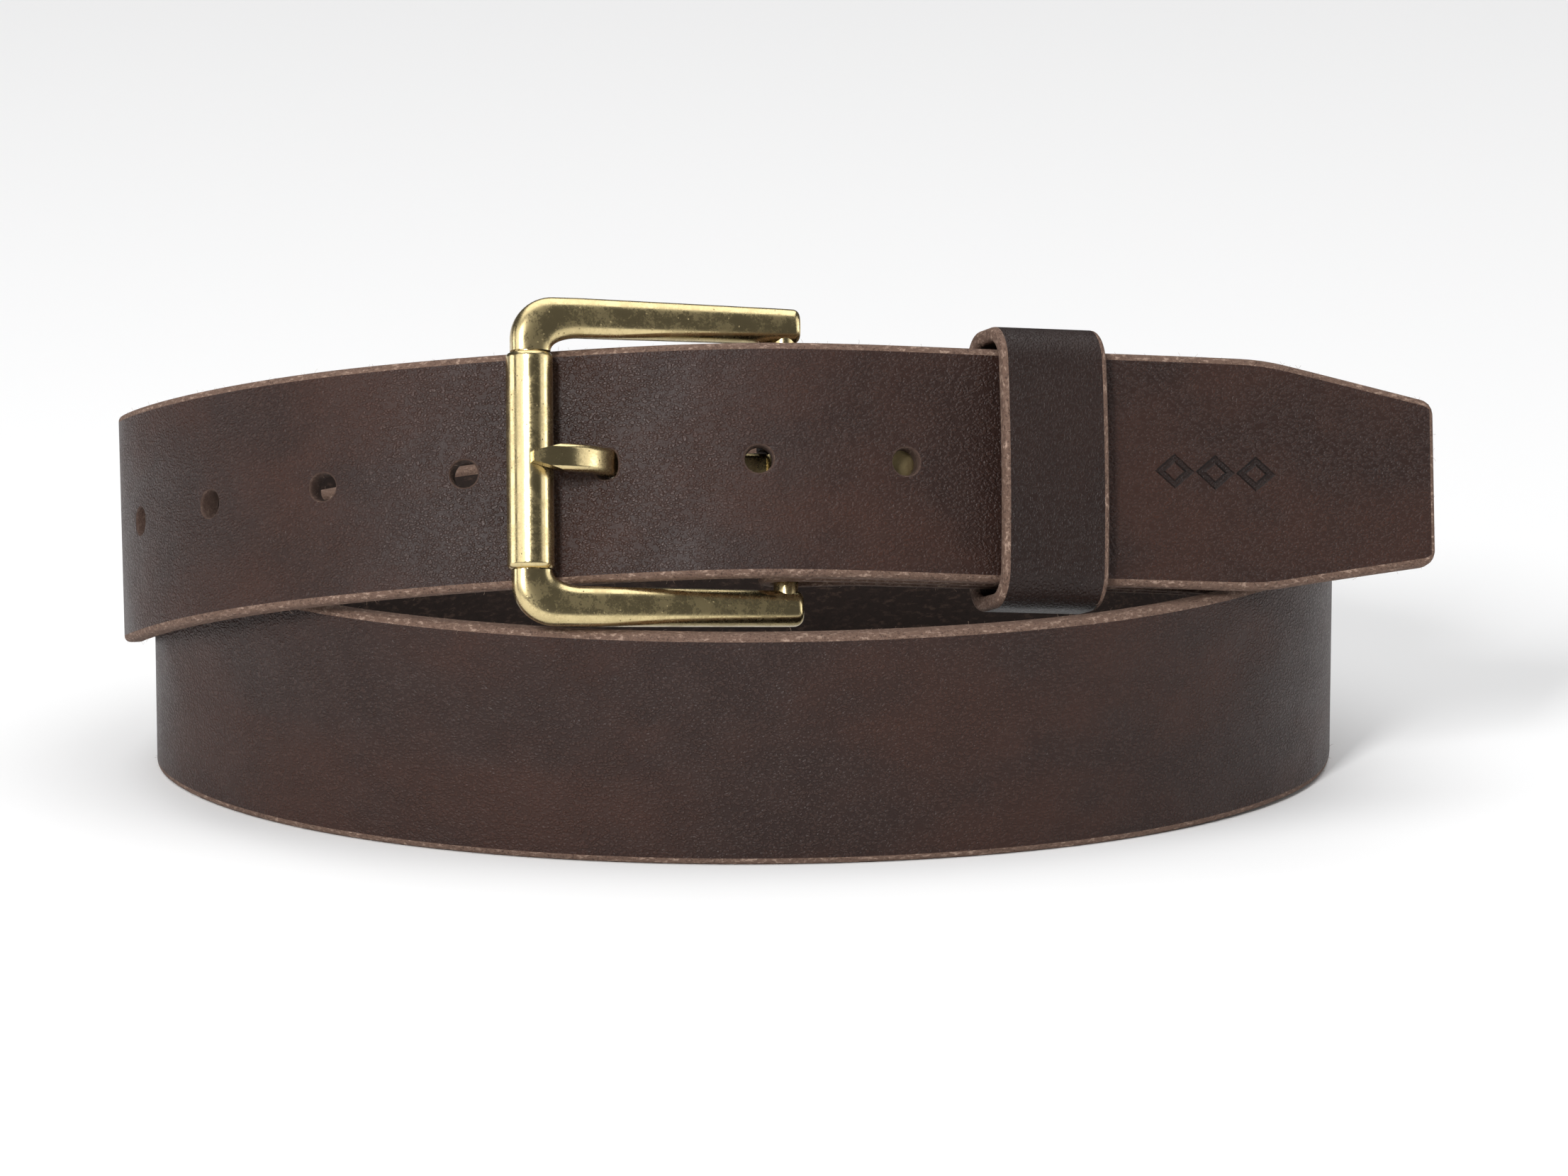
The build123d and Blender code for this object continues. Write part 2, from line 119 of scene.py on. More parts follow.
class BeltBuckleSizes(bpy.types.PropertyGroup):
    bar_spacing: length("Bar spacing", "Heel bar's centre to front bar's centre", 0.0446)
    heel_radius: length("Heel bar", "Radius of the heel bar", 0.0021)
    front_radius: length("Front bar", "Radius of the bar inside the roller", 0.0024)
    window_half: length("Half window", "Half of the window's height", 0.0212)
    width_heel: length("Rail at the heel", "Width of the rail at its free end", 0.0060)
    width_front: length("Rail at the roller", "Width of the rail at the roller end", 0.0068)
    depth: length("Depth", "Depth of the rail", 0.0050)
    heel_overhang: length("Heel overhang", "Rail past the heel bar's centre", 0.0028)
    front_overhang: length("Front overhang", "Frame past the front bar's centre", 0.0029)
    corner: length("Corner", "Outer rounding of the frame's corners", 0.0072)
    fillet_long: length("Inner fillet", "Reach of the inner corner's fillet along the rail", 0.0050)
    shoulder: length("Shoulder", "Middle of the front bar to the shoulder's end", 0.0187)


class BeltLooks(bpy.types.PropertyGroup):
    grain: colour("Grain", "Finished face of the leather", (0.0240, 0.0098, 0.0068))
    grain_warm: colour("Warm grain", "Warmer patches of the finished face", (0.040, 0.0150, 0.0092))
    # painted sheen: a light grey-brown colour laid on the tops of the pebbles
    grain_sheen: colour("Light grain", "Rubbed tops of the pebbles", (0.080, 0.052, 0.043))
    edge: colour("Raw edge", "Bevelled raw edge", (0.150, 0.092, 0.067))
    edge_light: colour("Edge fibre", "Light fibres of the raw edge", (0.46, 0.33, 0.255))
    # dark tone of the raw edge's hollows, also used as painted shade on the hole walls
    edge_dark_and_wall_shade: colour("Edge shade", "Dark hollows of the raw edge", (0.045, 0.025, 0.019))
    flesh: colour("Flesh side", "Rough inner face of the leather", (0.024, 0.0145, 0.0115))
    brass: colour("Brass", "Rubbed brass", (0.66, 0.535, 0.285))
    brass_dark: colour("Brass patina", "Darker patina in the brass", (0.34, 0.27, 0.125))
    steel: colour("Steel", "Staple wire", (0.45, 0.44, 0.42))
    pebble: length("Pebble", "Size of the leather's grain", 0.00050)
    fibre_length: length("Fibre length", "Longest stray fibre on the raw edge", 0.0009)
    fibre_radius: length("Fibre radius", "Radius of a stray fibre", 0.000022)
    fibre_seed: whole("Fibre seed", "Seed of the stray fibres", 7)
    fibre_density: number("Fibre density", "Stray fibres per square metre of edge", 520000.0)


class BeltStage(bpy.types.PropertyGroup):
    floor: colour("Floor", "Pale surface under the belt", (0.86, 0.86, 0.86))
    floor_size: length("Floor size", "Side of the floor", 8.0)
    camera_distance: length("Camera distance", "Camera to the point it looks at", 1.5)
    camera_aim: bpy.props.FloatVectorProperty(
        name="Camera aim", description="Point the camera looks at",
        default=(0.00224, -0.00061, 0.03068), subtype="TRANSLATION", unit="LENGTH")
    camera_pitch: bpy.props.FloatProperty(
        name="Camera pitch", description="How far the camera looks down",
        default=math.radians(13.0), subtype="ANGLE", unit="ROTATION")
    lens: number("Lens", "Focal length in millimetres on the sensor's width", 194.4)
    world: colour("World", "Even light from all round", (0.08, 0.08, 0.083))
    key_power: power("Top light", "Power of the light above", 59.0)
    glow_power: power("Front light", "Power of the small light in front", 13.0)
    side_power: power("Side lights", "Power of the left side light, which the other side lights follow", 4.5)


GROUPS = {"belt_strap": BeltStrapSizes, "belt_keeper": BeltKeeperSizes, "belt_buckle": BeltBuckleSizes,
          "belt_looks": BeltLooks, "belt_stage": BeltStage}

# Stations of the strap's centre line, from the pointed end on: shares of the ring's half width
# and half depth, height of the centre line in strap widths, and lean inwards in degrees.
TAIL = ((1.165, -0.437, 1.412, 24.0), (0.785, -0.568, 1.512, 18.5), (0.416, -0.730, 1.608, 18.5),
        (0.038, -0.852, 1.684, 21.0), (-0.350, -0.812, 1.624, 20.0), (-0.716, -0.690, 1.490, 18.0),
        (-0.985, -0.330, 1.225, 8.0), (None, 0.060, 1.010, -1.5), (-0.955, 0.500, 0.915, -1.0),
        (-0.620, 0.850, 0.875, 0.0), (-0.120, 1.010, 0.862, 0.0), (0.360, 0.970, 0.860, 0.0),
        (0.760, 0.740, 0.820, 0.0), (0.960, 0.330, 0.650, 0.0))
INNER = ((-0.900, 0.300, 0.500, 0.0), (-0.730, 0.520, 0.505, 0.0), (-0.480, 0.760, 0.520, 0.0),
         (-0.060, 0.880, 0.560, 0.0), (0.350, 0.840, 0.640, 0.0), (0.660, 0.665, 0.835, 0.0),
         (0.865, 0.330, 1.030, 0.0), (None, -0.040, 1.210, 3.0), (0.825, -0.380, 1.405, 10.0))
RING_STEPS = 8
RING_LIFT = 0.025             # the ring's right side is this high, in strap widths
FOLLOW_STEPS = 6
TAPER_SOFT = 0.004            # the taper starts softly over this run each side
BEVEL_SHARE = 0.3             # bevel depth as a share of the thickness
GRAIN, EDGE, FLESH = 0, 1, 2  # material slots of a leather piece
KEEPER_PAINTED_SHADE = 0.70           # painted shade: how far the keeper's leather colour is darkened towards the dark tone
HOLE_WALL_SHADE_REACH = 0.0055           # raw leather nearer the middle line than this is a hole's wall, which gets painted shade
HOLE_WALL_SHADE_FROM = 0.02              # but not on the pointed end, up to this run
STRAP_FIBRES = 0.3            # the strap's share of the stray fibres' density


# ---------------------------------------------------------------- the strap's route
def unit(v):
    return v / np.linalg.norm(v)


def cubic_through(points):
    """Natural cubic spline through points, by chord length: its whole length and an evaluator."""
    gaps = np.linalg.norm(np.diff(points[:, :3], axis=0), axis=1)
    knots = np.concatenate([[0.0], np.cumsum(gaps)])
    count = len(points)
    matrix = np.eye(count)
    right = np.zeros_like(points)
    for i in range(1, count - 1):
        before, after = gaps[i - 1], gaps[i]
        matrix[i, i - 1:i + 2] = before, 2 * (before + after), after
        right[i] = 6 * ((points[i + 1] - points[i]) / after - (points[i] - points[i - 1]) / before)
    bend = np.linalg.solve(matrix, right)

    def at(u):
        i = int(np.clip(np.searchsorted(knots, u) - 1, 0, count - 2))
        h = gaps[i]
        a, b = (knots[i + 1] - u) / h, (u - knots[i]) / h
        curve = (a ** 3 - a) * bend[i] + (b ** 3 - b) * bend[i + 1]
        return a * points[i] + b * points[i + 1] + curve * h * h / 6

    return knots[-1], at


class Route:
    """A centre line that carries the strap's own directions, measured by length."""

    def __init__(self, points, samples=2400):
        whole, at = cubic_through(np.array(points, float))
        self.table = np.array([at(u) for u in np.linspace(0, whole, samples)])
        steps = np.linalg.norm(np.diff(self.table[:, :3], axis=0), axis=1)
        self.run = np.concatenate([[0.0], np.cumsum(steps)])
        self.length = self.run[-1]

    def value(self, s):
        return np.array([np.interp(s, self.run, self.table[:, k]) for k in range(4)])

    def place(self, s):
        """Centre, direction along the strap, direction across it, and outward direction."""
        here = self.value(s)
        low, high = max(s - 0.001, 0.0), min(s + 0.001, self.length)
        along = unit(self.value(high)[:3] - self.value(low)[:3])
        up = np.array([0.0, 0.0, 1.0])
        across = unit(up - up.dot(along) * along)
        out = np.cross(across, along)
        lean = math.radians(here[3])
        across = math.cos(lean) * across - math.sin(lean) * out
        return here[:3], along, across, np.cross(across, along)


class Lay:
    """Where the strap lies: the tail's own route, the whole belt's, and the fold after it."""

    def __init__(self, size, keeper):
        self.size = size
        half_width = size.coil_width / 2 - size.thickness / 2
        half_depth = size.coil_depth / 2 - size.thickness / 2
        side = (size.thickness + size.lay_gap) / half_width

        def scaled(stations, bare):
            return [((bare if x is None else x) * half_width, y * half_depth, z * size.width, lean)
                    for x, y, z, lean in stations]

        tail = scaled(TAIL, -(1 + side))
        ring = []
        for i in range(RING_STEPS + 1):
            share = i / RING_STEPS
            lift = RING_LIFT * size.width * max(0.0, 1 - 2 * share) ** 4
            ring.append((half_width * math.cos(math.pi * share), -half_depth * math.sin(math.pi * share),
                         size.width / 2 + lift, 0.0))
        self.tail = Route(tail)
        self.worn_run = size.first_hole + (size.worn_hole - 1) * size.hole_pitch
        self.bar_run = self.worn_run - keeper.prong_reach
        self.keeper_run = self.bar_run - keeper.from_bar
        main = size.thickness / 2 + size.tail_gap + size.skived / 2
        self.fold_offset = main + size.skived + size.fold_gap
        first = self.keeper_run - keeper.length / 2
        follow = []
        for i in range(FOLLOW_STEPS + 1):
            s = first + (self.bar_run - first) * i / FOLLOW_STEPS
            centre, _, _, out = self.tail.place(s)
            follow.append((*(centre - main * out), self.tail.value(s)[3]))
        self.belt = Route(tail + ring + scaled(INNER, 1 - side) + follow)
        self.wrap = size.bar_radius + size.clearance + size.skived / 2
        self.turn = math.pi * self.wrap
        self.end = self.belt.length + self.turn + size.fold_length
        self.home = np.zeros(3)  # find_home reads the sections, which add it
        self.home = self.find_home()

    def find_home(self):
        """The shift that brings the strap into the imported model's frame."""
        corners = []
        for s in np.linspace(0, self.end, 700):
            centre, across, out, width, thick = self.section(s)
            for a in (-0.5, 0.5):
                for b in (BEVEL_SHARE - 0.5, 0.5 - BEVEL_SHARE):
                    corners.append(centre + a * width * across + b * thick * out)
        low, high = np.min(corners, axis=0), np.max(corners, axis=0)
        cad_low, cad_high = (np.array(v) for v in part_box("strap"))
        shift = (cad_low + cad_high - low - high) / 2
        shift[2] = cad_low[2] - low[2]
        return shift

    def section(self, s):
        """Centre, across, outward direction, width and thickness at a length from the tip."""
        size, whole = self.size, self.belt.length
        if s <= whole:
            centre, _, across, out = self.belt.place(s)
            share = min(1.0, max(0.0, (whole - s - size.fold_length) / size.skive_run))
            thick = size.skived + (size.thickness - size.skived) * share
            return centre + self.home, across, out, self.width_at(s), thick
        if s <= whole + self.turn:
            centre, along, across, out = self.belt.place(whole)
            angle = (s - whole) / self.wrap
            away = math.cos(angle) * out + math.sin(angle) * along
            return centre + self.wrap * (away - out) + self.home, across, away, size.width, size.skived
        reach = s - whole - self.turn
        centre, _, across, out = self.belt.place(whole - reach)
        closing = min(1.0, reach / size.fold_settle)
        closing = closing * closing * (3 - 2 * closing)
        apart = 2 * self.wrap + (size.skived + size.fold_gap - 2 * self.wrap) * closing
        return centre - apart * out + self.home, across, -out, size.width, size.skived

    def width_at(self, s):
        size = self.size
        into = size.tip_length - s
        if into <= -TAPER_SOFT:
            return size.width
        if into < TAPER_SOFT:
            into = (into + TAPER_SOFT) ** 2 / (4 * TAPER_SOFT)
        width = size.width - (size.width - size.tip_width) * into / size.tip_length
        if s < size.tip_corner:
            width -= 2 * (size.tip_corner - math.sqrt(size.tip_corner ** 2 - (size.tip_corner - s) ** 2))
        return width

    def tail_place(self, s):
        centre, along, across, out = self.tail.place(s)
        return centre + self.home, along, across, out


# ---------------------------------------------------------------- leather meshes
PATCH = 0.005                 # half side of the square patch round a hole
PATCH_CELLS = 12              # cells on each side of that patch
FACE_STEPS = 8                # columns from the patch to the raw edge
EDGE_STEPS = 7                # rings across one raw edge
EDGE_CURVE = 0.9              # makes the bevel's round a little squarer
EDGE_BOW = 0.00003            # the raw edge bows out by this
END_ROUND = 0.0009            # rounding of a cut end along the strap
END_SHARES = (0.2, 0.5)       # sections inside that rounding, as shares of it
END_PINCH = 0.35              # how far the rounding takes the leather in, as a share of its thickness
SLOT_SNAP = 0.0005            # a column this near the slot's side is moved on to it
OPENING_RINGS = (0.30, 0.55, 0.75, 0.90)
OPENING_LIP = ((0.00032, 0.00002), (0.00012, 0.00009), (0.0, 0.00035))  # how much wider and how far sunk
HOLE_SQUARE, WORN_SQUARE = 2.0, 2.6  # squareness of the holes: 2 is an ellipse
WORN_ROOM = 0.002             # patch past the worn hole's ends
PRONG_BEFORE, PRONG_AFTER = 0.02, 0.012  # the prong is looked for this near the worn hole
HAIR = 1e-6                   # sections nearer than this are the same


def superellipse(angle, square):
    """Cosine, sine and growth that together reach a superellipse of unit half sides."""
    c, t = math.cos(angle), math.sin(angle)
    return c, t, (abs(c) ** square + abs(t) ** square) ** (-1 / square)


def edge_profile(side, face, reach, depth):
    """Raw edge from the front face's side round to the back face's, as (across, out)."""
    points = []
    for i in range(EDGE_STEPS):
        angle = math.pi / 2 * i / (EDGE_STEPS - 1)
        points.append((side - reach + reach * math.sin(angle) ** EDGE_CURVE,
                       face - depth * (1 - math.cos(angle) ** EDGE_CURVE)))
    points += [(side + EDGE_BOW, 0.0)]
    points += [(a, -b) for a, b in reversed(points[:EDGE_STEPS])]
    return points


def profile(width, thick, full, bevel):
    """Closed cross-section, from the front face's left round the edges: (across, out) and kind."""
    side, face = width / 2, thick / 2
    reach, depth = bevel * thick / full, BEVEL_SHARE * thick
    inner = side - reach
    middle = np.linspace(-PATCH, PATCH, PATCH_CELLS + 1)
    far = np.linspace(PATCH, inner, FACE_STEPS)[1:-1]
    front = [(v, face, GRAIN) for v in (*(-far[::-1]), *middle, *far)]
    edge = [(a, b, EDGE) for a, b in edge_profile(side, face, reach, depth)]
    back = [(-a, -b, FLESH) for a, b, _ in front]
    other = [(-a, -b, EDGE) for a, b, _ in edge]
    return front + edge + back + other


def between(one, other):
    """Material of the face between two columns: raw edge only where both are."""
    return other if one == EDGE else one


class Sheet:
    """Vertices, faces and lay coordinates of a leather piece while it is being made."""

    def __init__(self, place):
        self.place = place
        self.lay, self.faces, self.kinds = [], [], []

    def vertex(self, s, w, h):
        self.lay.append((s, w, h))
        return len(self.lay) - 1

    def quad(self, a, b, c, d, kind):
        self.faces.append((a, b, c, d))
        self.kinds.append(kind)

    def mesh(self, name):
        points = [self.place(s, w, h) for s, w, h in self.lay]
        mesh = bpy.data.meshes.new(name)
        mesh.from_pydata([tuple(p) for p in points], [], self.faces)
        mesh.polygons.foreach_set("material_index", self.kinds)
        mesh.attributes.new("lay", "FLOAT_VECTOR", "POINT").data.foreach_set(
            "vector", np.array(self.lay, np.float32).ravel())
        mesh.polygons.foreach_set("use_smooth", [True] * len(self.faces))
        mesh.update()
        mesh.set_sharp_from_angle(angle=math.radians(50))
        return mesh


def opening_outline(corner_sides, centre, half, square):
    """Points of an opening, one for each point of the patch's border round it."""
    points = []
    for s, w in corner_sides:
        c, t, grow = superellipse(math.atan2(w / half[1], (s - centre) / half[0]), square)
        points.append((centre + half[0] * grow * c, half[1] * grow * t))
    return points


def prong_opening(lay, face):
    """Where the prong crosses one face of the tail: middle and half length along the strap."""
    size = lay.size
    centre, along, _, out = lay.tail_place(lay.worn_run)
    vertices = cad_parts["prong"].data.vertices
    points = np.empty(len(vertices) * 3, np.float32)
    vertices.foreach_get("co", points)
    away = points.reshape(-1, 3) - centre
    s, h = lay.worn_run + away @ along, away @ out
    near = np.abs(h - face) < 0.25 * size.thickness
    near &= (s < lay.worn_run + PRONG_AFTER) & (s > lay.worn_run - PRONG_BEFORE)
    low, high = s[near].min(), s[near].max()
    return (low + high) / 2, (high - low) / 2 + size.clearance


def strap_holes(lay):
    """For each hole: centre, half run of its patch, front and back opening, squareness."""
    size = lay.size
    half_width = size.prong_width / 2 + size.clearance
    holes = []
    for i in range(size.hole_count):
        centre = size.first_hole + i * size.hole_pitch
        if i + 1 != size.worn_hole:
            opening = (centre, (size.hole_radius, size.hole_radius))
            holes.append((centre, PATCH, opening, opening, HOLE_SQUARE))
            continue
        front, back = (prong_opening(lay, f * size.thickness / 2) for f in (1, -1))
        reach = max(front[0] + front[1] - centre, centre - back[0] + back[1]) + WORN_ROOM
        openings = [(middle, (half, half_width)) for middle, half in (front, back)]
        holes.append((centre, reach, *openings, WORN_SQUARE))
    return holes


def strap_runs(lay, holes, slot):
    """Runs of the strap's sections, and the patches as (first section, hole)."""
    size, whole = lay.size, lay.belt.length
    runs = [0.0] + [share * END_ROUND for share in END_SHARES]
    runs += [END_ROUND, 0.75 * size.tip_corner, size.tip_corner, size.tip_corner + 0.001]
    lines = (size.tip_length, whole - size.fold_length - size.skive_run, whole - size.fold_length,
             slot[0], whole, whole + lay.turn, slot[1], lay.end - END_ROUND)
    marks = [(hole[0] - hole[1], hole[0] + hole[1], hole) for hole in holes]
    marks += [(v, v, None) for v in lines]
    patches = []
    for low, high, hole in sorted(marks, key=lambda m: m[0]):
        gap = low - runs[-1]
        steps = max(1, math.ceil(gap / size.section_step))
        runs += [runs[-1] + gap * (i + 1) / steps for i in range(steps)]
        if hole:
            patches.append((len(runs) - 1, hole))
            runs += [low + (high - low) * (i + 1) / PATCH_CELLS for i in range(PATCH_CELLS)]
    runs += [lay.end - share * END_ROUND for share in END_SHARES[::-1]] + [lay.end]
    return runs, patches


def close_end(sheet, row, kinds, flip):
    """Faces of a cut end, across one section from the front face to the back."""
    grain, flesh, count = kinds.count(GRAIN), kinds.index(FLESH), len(kinds)
    faces = [(row[j], row[j + 1], row[flesh + grain - 2 - j], row[flesh + grain - 1 - j])
             for j in range(grain - 1)]
    for first in (grain - 1, flesh + grain - 1):
        side = [row[(first + j) % count] for j in range(2 * EDGE_STEPS + 3)]
        faces += [(side[j], side[j + 1], side[-2 - j], side[-1 - j]) for j in range(EDGE_STEPS)]
    for face in faces:
        sheet.quad(*(face[::-1] if flip else face), EDGE)


def border_of(start):
    """(section, column) of each point round a patch's border."""
    side = range(PATCH_CELLS)
    back = range(PATCH_CELLS, 0, -1)
    return ([(start, j) for j in side] + [(start + j, PATCH_CELLS) for j in side]
            + [(start + PATCH_CELLS, j) for j in back] + [(start + j, 0) for j in back])


def open_hole(sheet, rows, patch, blocks, thickness):
    """Fills a patch round its opening on both faces, and walls the opening."""
    start, (_, _, front, back, square) = patch
    rims = []
    for first, (middle, half), sign, kind in ((blocks[0], front, 1, GRAIN), (blocks[1], back, -1, FLESH)):
        border = border_of(start)
        if sign < 0:
            border = [(i, PATCH_CELLS - k) for i, k in border]
        previous = [rows[i][first + k] for i, k in border]
        spots = [sheet.lay[v][:2] for v in previous]
        outline = opening_outline(spots, middle, half, square)
        face = sign * thickness / 2
        rings = [(share, 0.0, 0.0, kind) for share in OPENING_RINGS]
        rings += [(1.0, *lip, EDGE if i else kind) for i, lip in enumerate(OPENING_LIP)]
        for share, wider, sunk, ring_kind in rings:
            ring = []
            for (s0, w0), (s1, w1) in zip(spots, outline):
                away = math.hypot(s1 - middle, w1) or 1.0
                s1 += wider * (s1 - middle) / away
                w1 += wider * w1 / away
                ring.append(sheet.vertex(s0 + share * (s1 - s0), w0 + share * (w1 - w0),
                                         face - sign * sunk))
            for j in range(len(ring)):
                n = (j + 1) % len(ring)
                quad = (previous[j], previous[n], ring[n], ring[j])
                sheet.quad(*(quad if sign > 0 else quad[::-1]), ring_kind)
            previous = ring
        rims.append(previous)
    for j in range(len(rims[0])):
        n = (j + 1) % len(rims[0])
        sheet.quad(rims[0][j], rims[0][n], rims[1][n], rims[1][j], EDGE)


def wall_slot(sheet, rows, slot_rows, cells, blocks):
    """Walls of the prong's slot: its two long sides, then its two ends."""
    front, back = blocks
    for column in (cells[0], cells[-1] + 1):
        mirrored = back + PATCH_CELLS - column
        for i in slot_rows:
            quad = (rows[i][front + column], rows[i + 1][front + column],
                    rows[i + 1][mirrored], rows[i][mirrored])
            sheet.quad(*(quad if column == cells[0] else quad[::-1]), EDGE)
    for i, flip in ((slot_rows[0], True), (slot_rows[-1] + 1, False)):
        for k in cells:
            mirrored = back + PATCH_CELLS - k
            quad = (rows[i][front + k], rows[i][front + k + 1],
                    rows[i][mirrored - 1], rows[i][mirrored])
            sheet.quad(*(quad[::-1] if flip else quad), EDGE)


def strap_mesh(lay):
    """The strap: sections along its route, with its holes, its slot and its cut ends."""
    size = lay.size
    slot_half = size.prong_width / 2 + size.clearance
    slot = (lay.belt.length - size.slot_length, lay.belt.length + lay.turn + size.slot_length)
    runs, patches = strap_runs(lay, strap_holes(lay), slot)
    memo = {}

    def section(s):
        key = round(s, 9)
        if key not in memo:
            memo[key] = lay.section(s)
        return memo[key]

    def place(s, w, h):
        centre, across, out, _, _ = section(s)
        return centre + w * across + h * out

    sheet = Sheet(place)
    rows, kinds = [], None
    for s in runs:
        _, _, _, width, thick = section(s)
        near, pull = min(s, lay.end - s), 0.0
        if near < END_ROUND:
            pull = END_PINCH * thick * (1 - math.sqrt(1 - (1 - near / END_ROUND) ** 2))
        ring = profile(width - pull, thick - 2 * pull, size.thickness, size.bevel)
        if slot[0] - HAIR <= s <= slot[1] + HAIR:
            ring = [(math.copysign(slot_half, w) if abs(abs(w) - slot_half) < SLOT_SNAP else w, h, k)
                    for w, h, k in ring]
        kinds = [k for _, _, k in ring]
        rows.append([sheet.vertex(s, w, h) for w, h, _ in ring])
    count = len(kinds)
    face_kinds = [between(kinds[k], kinds[(k + 1) % count]) for k in range(count)]
    side_count = (kinds.count(GRAIN) - PATCH_CELLS - 1) // 2
    blocks = (side_count, kinds.index(FLESH) + side_count)
    grid = np.linspace(-PATCH, PATCH, PATCH_CELLS + 1)
    cells = [k for k in range(PATCH_CELLS) if abs(grid[k] + grid[k + 1]) / 2 < slot_half]
    slot_rows = [i for i, s in enumerate(runs[:-1]) if slot[0] - HAIR <= s < slot[1] - HAIR]
    skip = {(start + i, first + k) for start, _ in patches for first in blocks
            for i in range(PATCH_CELLS) for k in range(PATCH_CELLS)}
    skip |= {(i, first + k) for i in slot_rows for first in blocks for k in cells}
    for i in range(len(runs) - 1):
        near_end = min(runs[i + 1], lay.end - runs[i]) <= 1.05 * END_ROUND
        for k in range(count):
            if (i, k) not in skip:
                n = (k + 1) % count
                kind = EDGE if near_end else face_kinds[k]
                sheet.quad(rows[i][k], rows[i][n], rows[i + 1][n], rows[i + 1][k], kind)
    close_end(sheet, rows[0], kinds, True)
    close_end(sheet, rows[-1], kinds, False)
    wall_slot(sheet, rows, slot_rows, cells, blocks)
    for patch in patches:
        open_hole(sheet, rows, patch, blocks, size.thickness)
    return sheet.mesh("strap_leather")


KEEPER_STEPS = 14             # points along a straight part of the keeper
CORNER_STEPS = 12             # points round one of its corners


def keeper_path(keeper, half_out, half_across):
    """Outer path in (across, out), from the joint in the back's middle round the front."""
    corner = min(keeper.corner, half_out - 0.0002)
    flat = half_across - corner
    path = [(w, -half_out) for w in np.linspace(keeper.joint / 2, flat, KEEPER_STEPS)]
    for sign_o, start in ((-1, -90), (1, 0)):
        for angle in np.radians(np.linspace(start, start + 90, CORNER_STEPS)):
            path.append((flat + corner * math.cos(angle),
                         sign_o * (half_out - corner) + corner * math.sin(angle)))
    path += [(w, half_out) for w in np.linspace(flat, 0, KEEPER_STEPS)[1:]]
    path += [(-w, o) for w, o in reversed(path[:-1])]
    path = np.array(path)
    bow = keeper.bulge * np.clip(1 - (path[:, 0] / half_across) ** 2, 0, 1)
    path[:, 1] += np.where(path[:, 1] > 0, bow * np.clip(path[:, 1] / half_out, 0, 1), 0)
    keep = np.concatenate([[True], np.linalg.norm(np.diff(path, axis=0), axis=1) > 1e-5])
    return path[keep]


def keeper_mesh(lay, keeper):
    """The keeper: a bevelled band swept round a rounded rectangle with a bowed front."""
    size = lay.size
    centre, along, across, out = lay.tail_place(lay.keeper_run)
    front = size.thickness / 2 + keeper.face_room
    back = -(lay.fold_offset + size.skived / 2 + keeper.face_room)
    side = size.width / 2 + keeper.side_room
    half_out, middle = (front - back) / 2 + keeper.thickness, (front + back) / 2
    path = keeper_path(keeper, half_out, side + keeper.thickness)
    tangent = np.gradient(path, axis=0)
    tangent /= np.linalg.norm(tangent, axis=1)[:, None]
    normal = np.stack([tangent[:, 1], -tangent[:, 0]], axis=1)
    run = np.concatenate([[0.0], np.cumsum(np.linalg.norm(np.diff(path, axis=0), axis=1))])

    def place(s, w, h):
        at = np.array([np.interp(s, run, path[:, k]) for k in (0, 1)])
        away = np.array([np.interp(s, run, normal[:, k]) for k in (0, 1)])
        away /= np.linalg.norm(away)
        spot = at + (h - keeper.thickness / 2) * away
        return centre + w * along + spot[0] * across + (middle + spot[1]) * out

    sheet = Sheet(place)
    ring = profile(keeper.length, keeper.thickness, keeper.thickness, 0.8 * size.bevel)
    kinds = [k for _, _, k in ring]
    rows = [[sheet.vertex(s, w, h) for w, h, _ in ring] for s in run]
    for one, two in zip(rows, rows[1:]):
        for k in range(len(kinds)):
            n = (k + 1) % len(kinds)
            sheet.quad(one[k], two[k], two[n], one[n], between(kinds[k], kinds[n]))
    close_end(sheet, rows[0], kinds, False)
    close_end(sheet, rows[-1], kinds, True)
    return sheet.mesh("keeper_leather")


# ---------------------------------------------------------------- the buckle's frame
RING_POINTS = 48
RAIL_SQUARE = 2.9             # squareness of the rail's section: 2 is an ellipse
RAIL_END_ROUND = 0.0013       # rounding of the rail's free end
TURN_FROM, TURN_SPAN = 0.35, 0.5  # shares of the corner where its turn begins and that it lasts
FALL_FROM = 0.85              # share of the corner where the shoulder begins


class Bars:
    """Closed swept bars gathered into one mesh."""

    def __init__(self, place):
        self.place, self.points, self.faces = place, [], []

    def sweep(self, stations, square):
        """A closed bar through stations of (centre, side, half side, half depth) in the buckle's frame."""
        rings = []
        for centre, side, half_side, half_depth in stations:
            ring = []
            for j in range(RING_POINTS):
                c, t, grow = superellipse(2 * math.pi * j / RING_POINTS, square)
                depth = half_depth * grow * t * np.array([0.0, 1.0, 0.0])
                ring.append(len(self.points))
                self.points.append(centre + half_side * grow * c * side + depth)
            rings.append(ring)
        faces = [(a[j], b[j], b[(j + 1) % RING_POINTS], a[(j + 1) % RING_POINTS])
                 for a, b in zip(rings, rings[1:]) for j in range(RING_POINTS)]
        faces += [tuple(rings[0]), tuple(reversed(rings[-1]))]
        middle = np.mean([self.points[v] for ring in rings for v in ring], axis=0)
        volume = 0.0
        for face in faces:
            a, b, c = (self.points[v] - middle for v in face[:3])
            volume += np.dot(a, np.cross(b, c))
        self.faces += faces if volume > 0 else [tuple(reversed(f)) for f in faces]

    def mesh(self, name):
        mesh = bpy.data.meshes.new(name)
        mesh.from_pydata([tuple(self.place(p)) for p in self.points], [], self.faces)
        mesh.polygons.foreach_set("use_smooth", [True] * len(self.faces))
        mesh.update()
        mesh.set_sharp_from_angle(angle=math.radians(40))
        return mesh


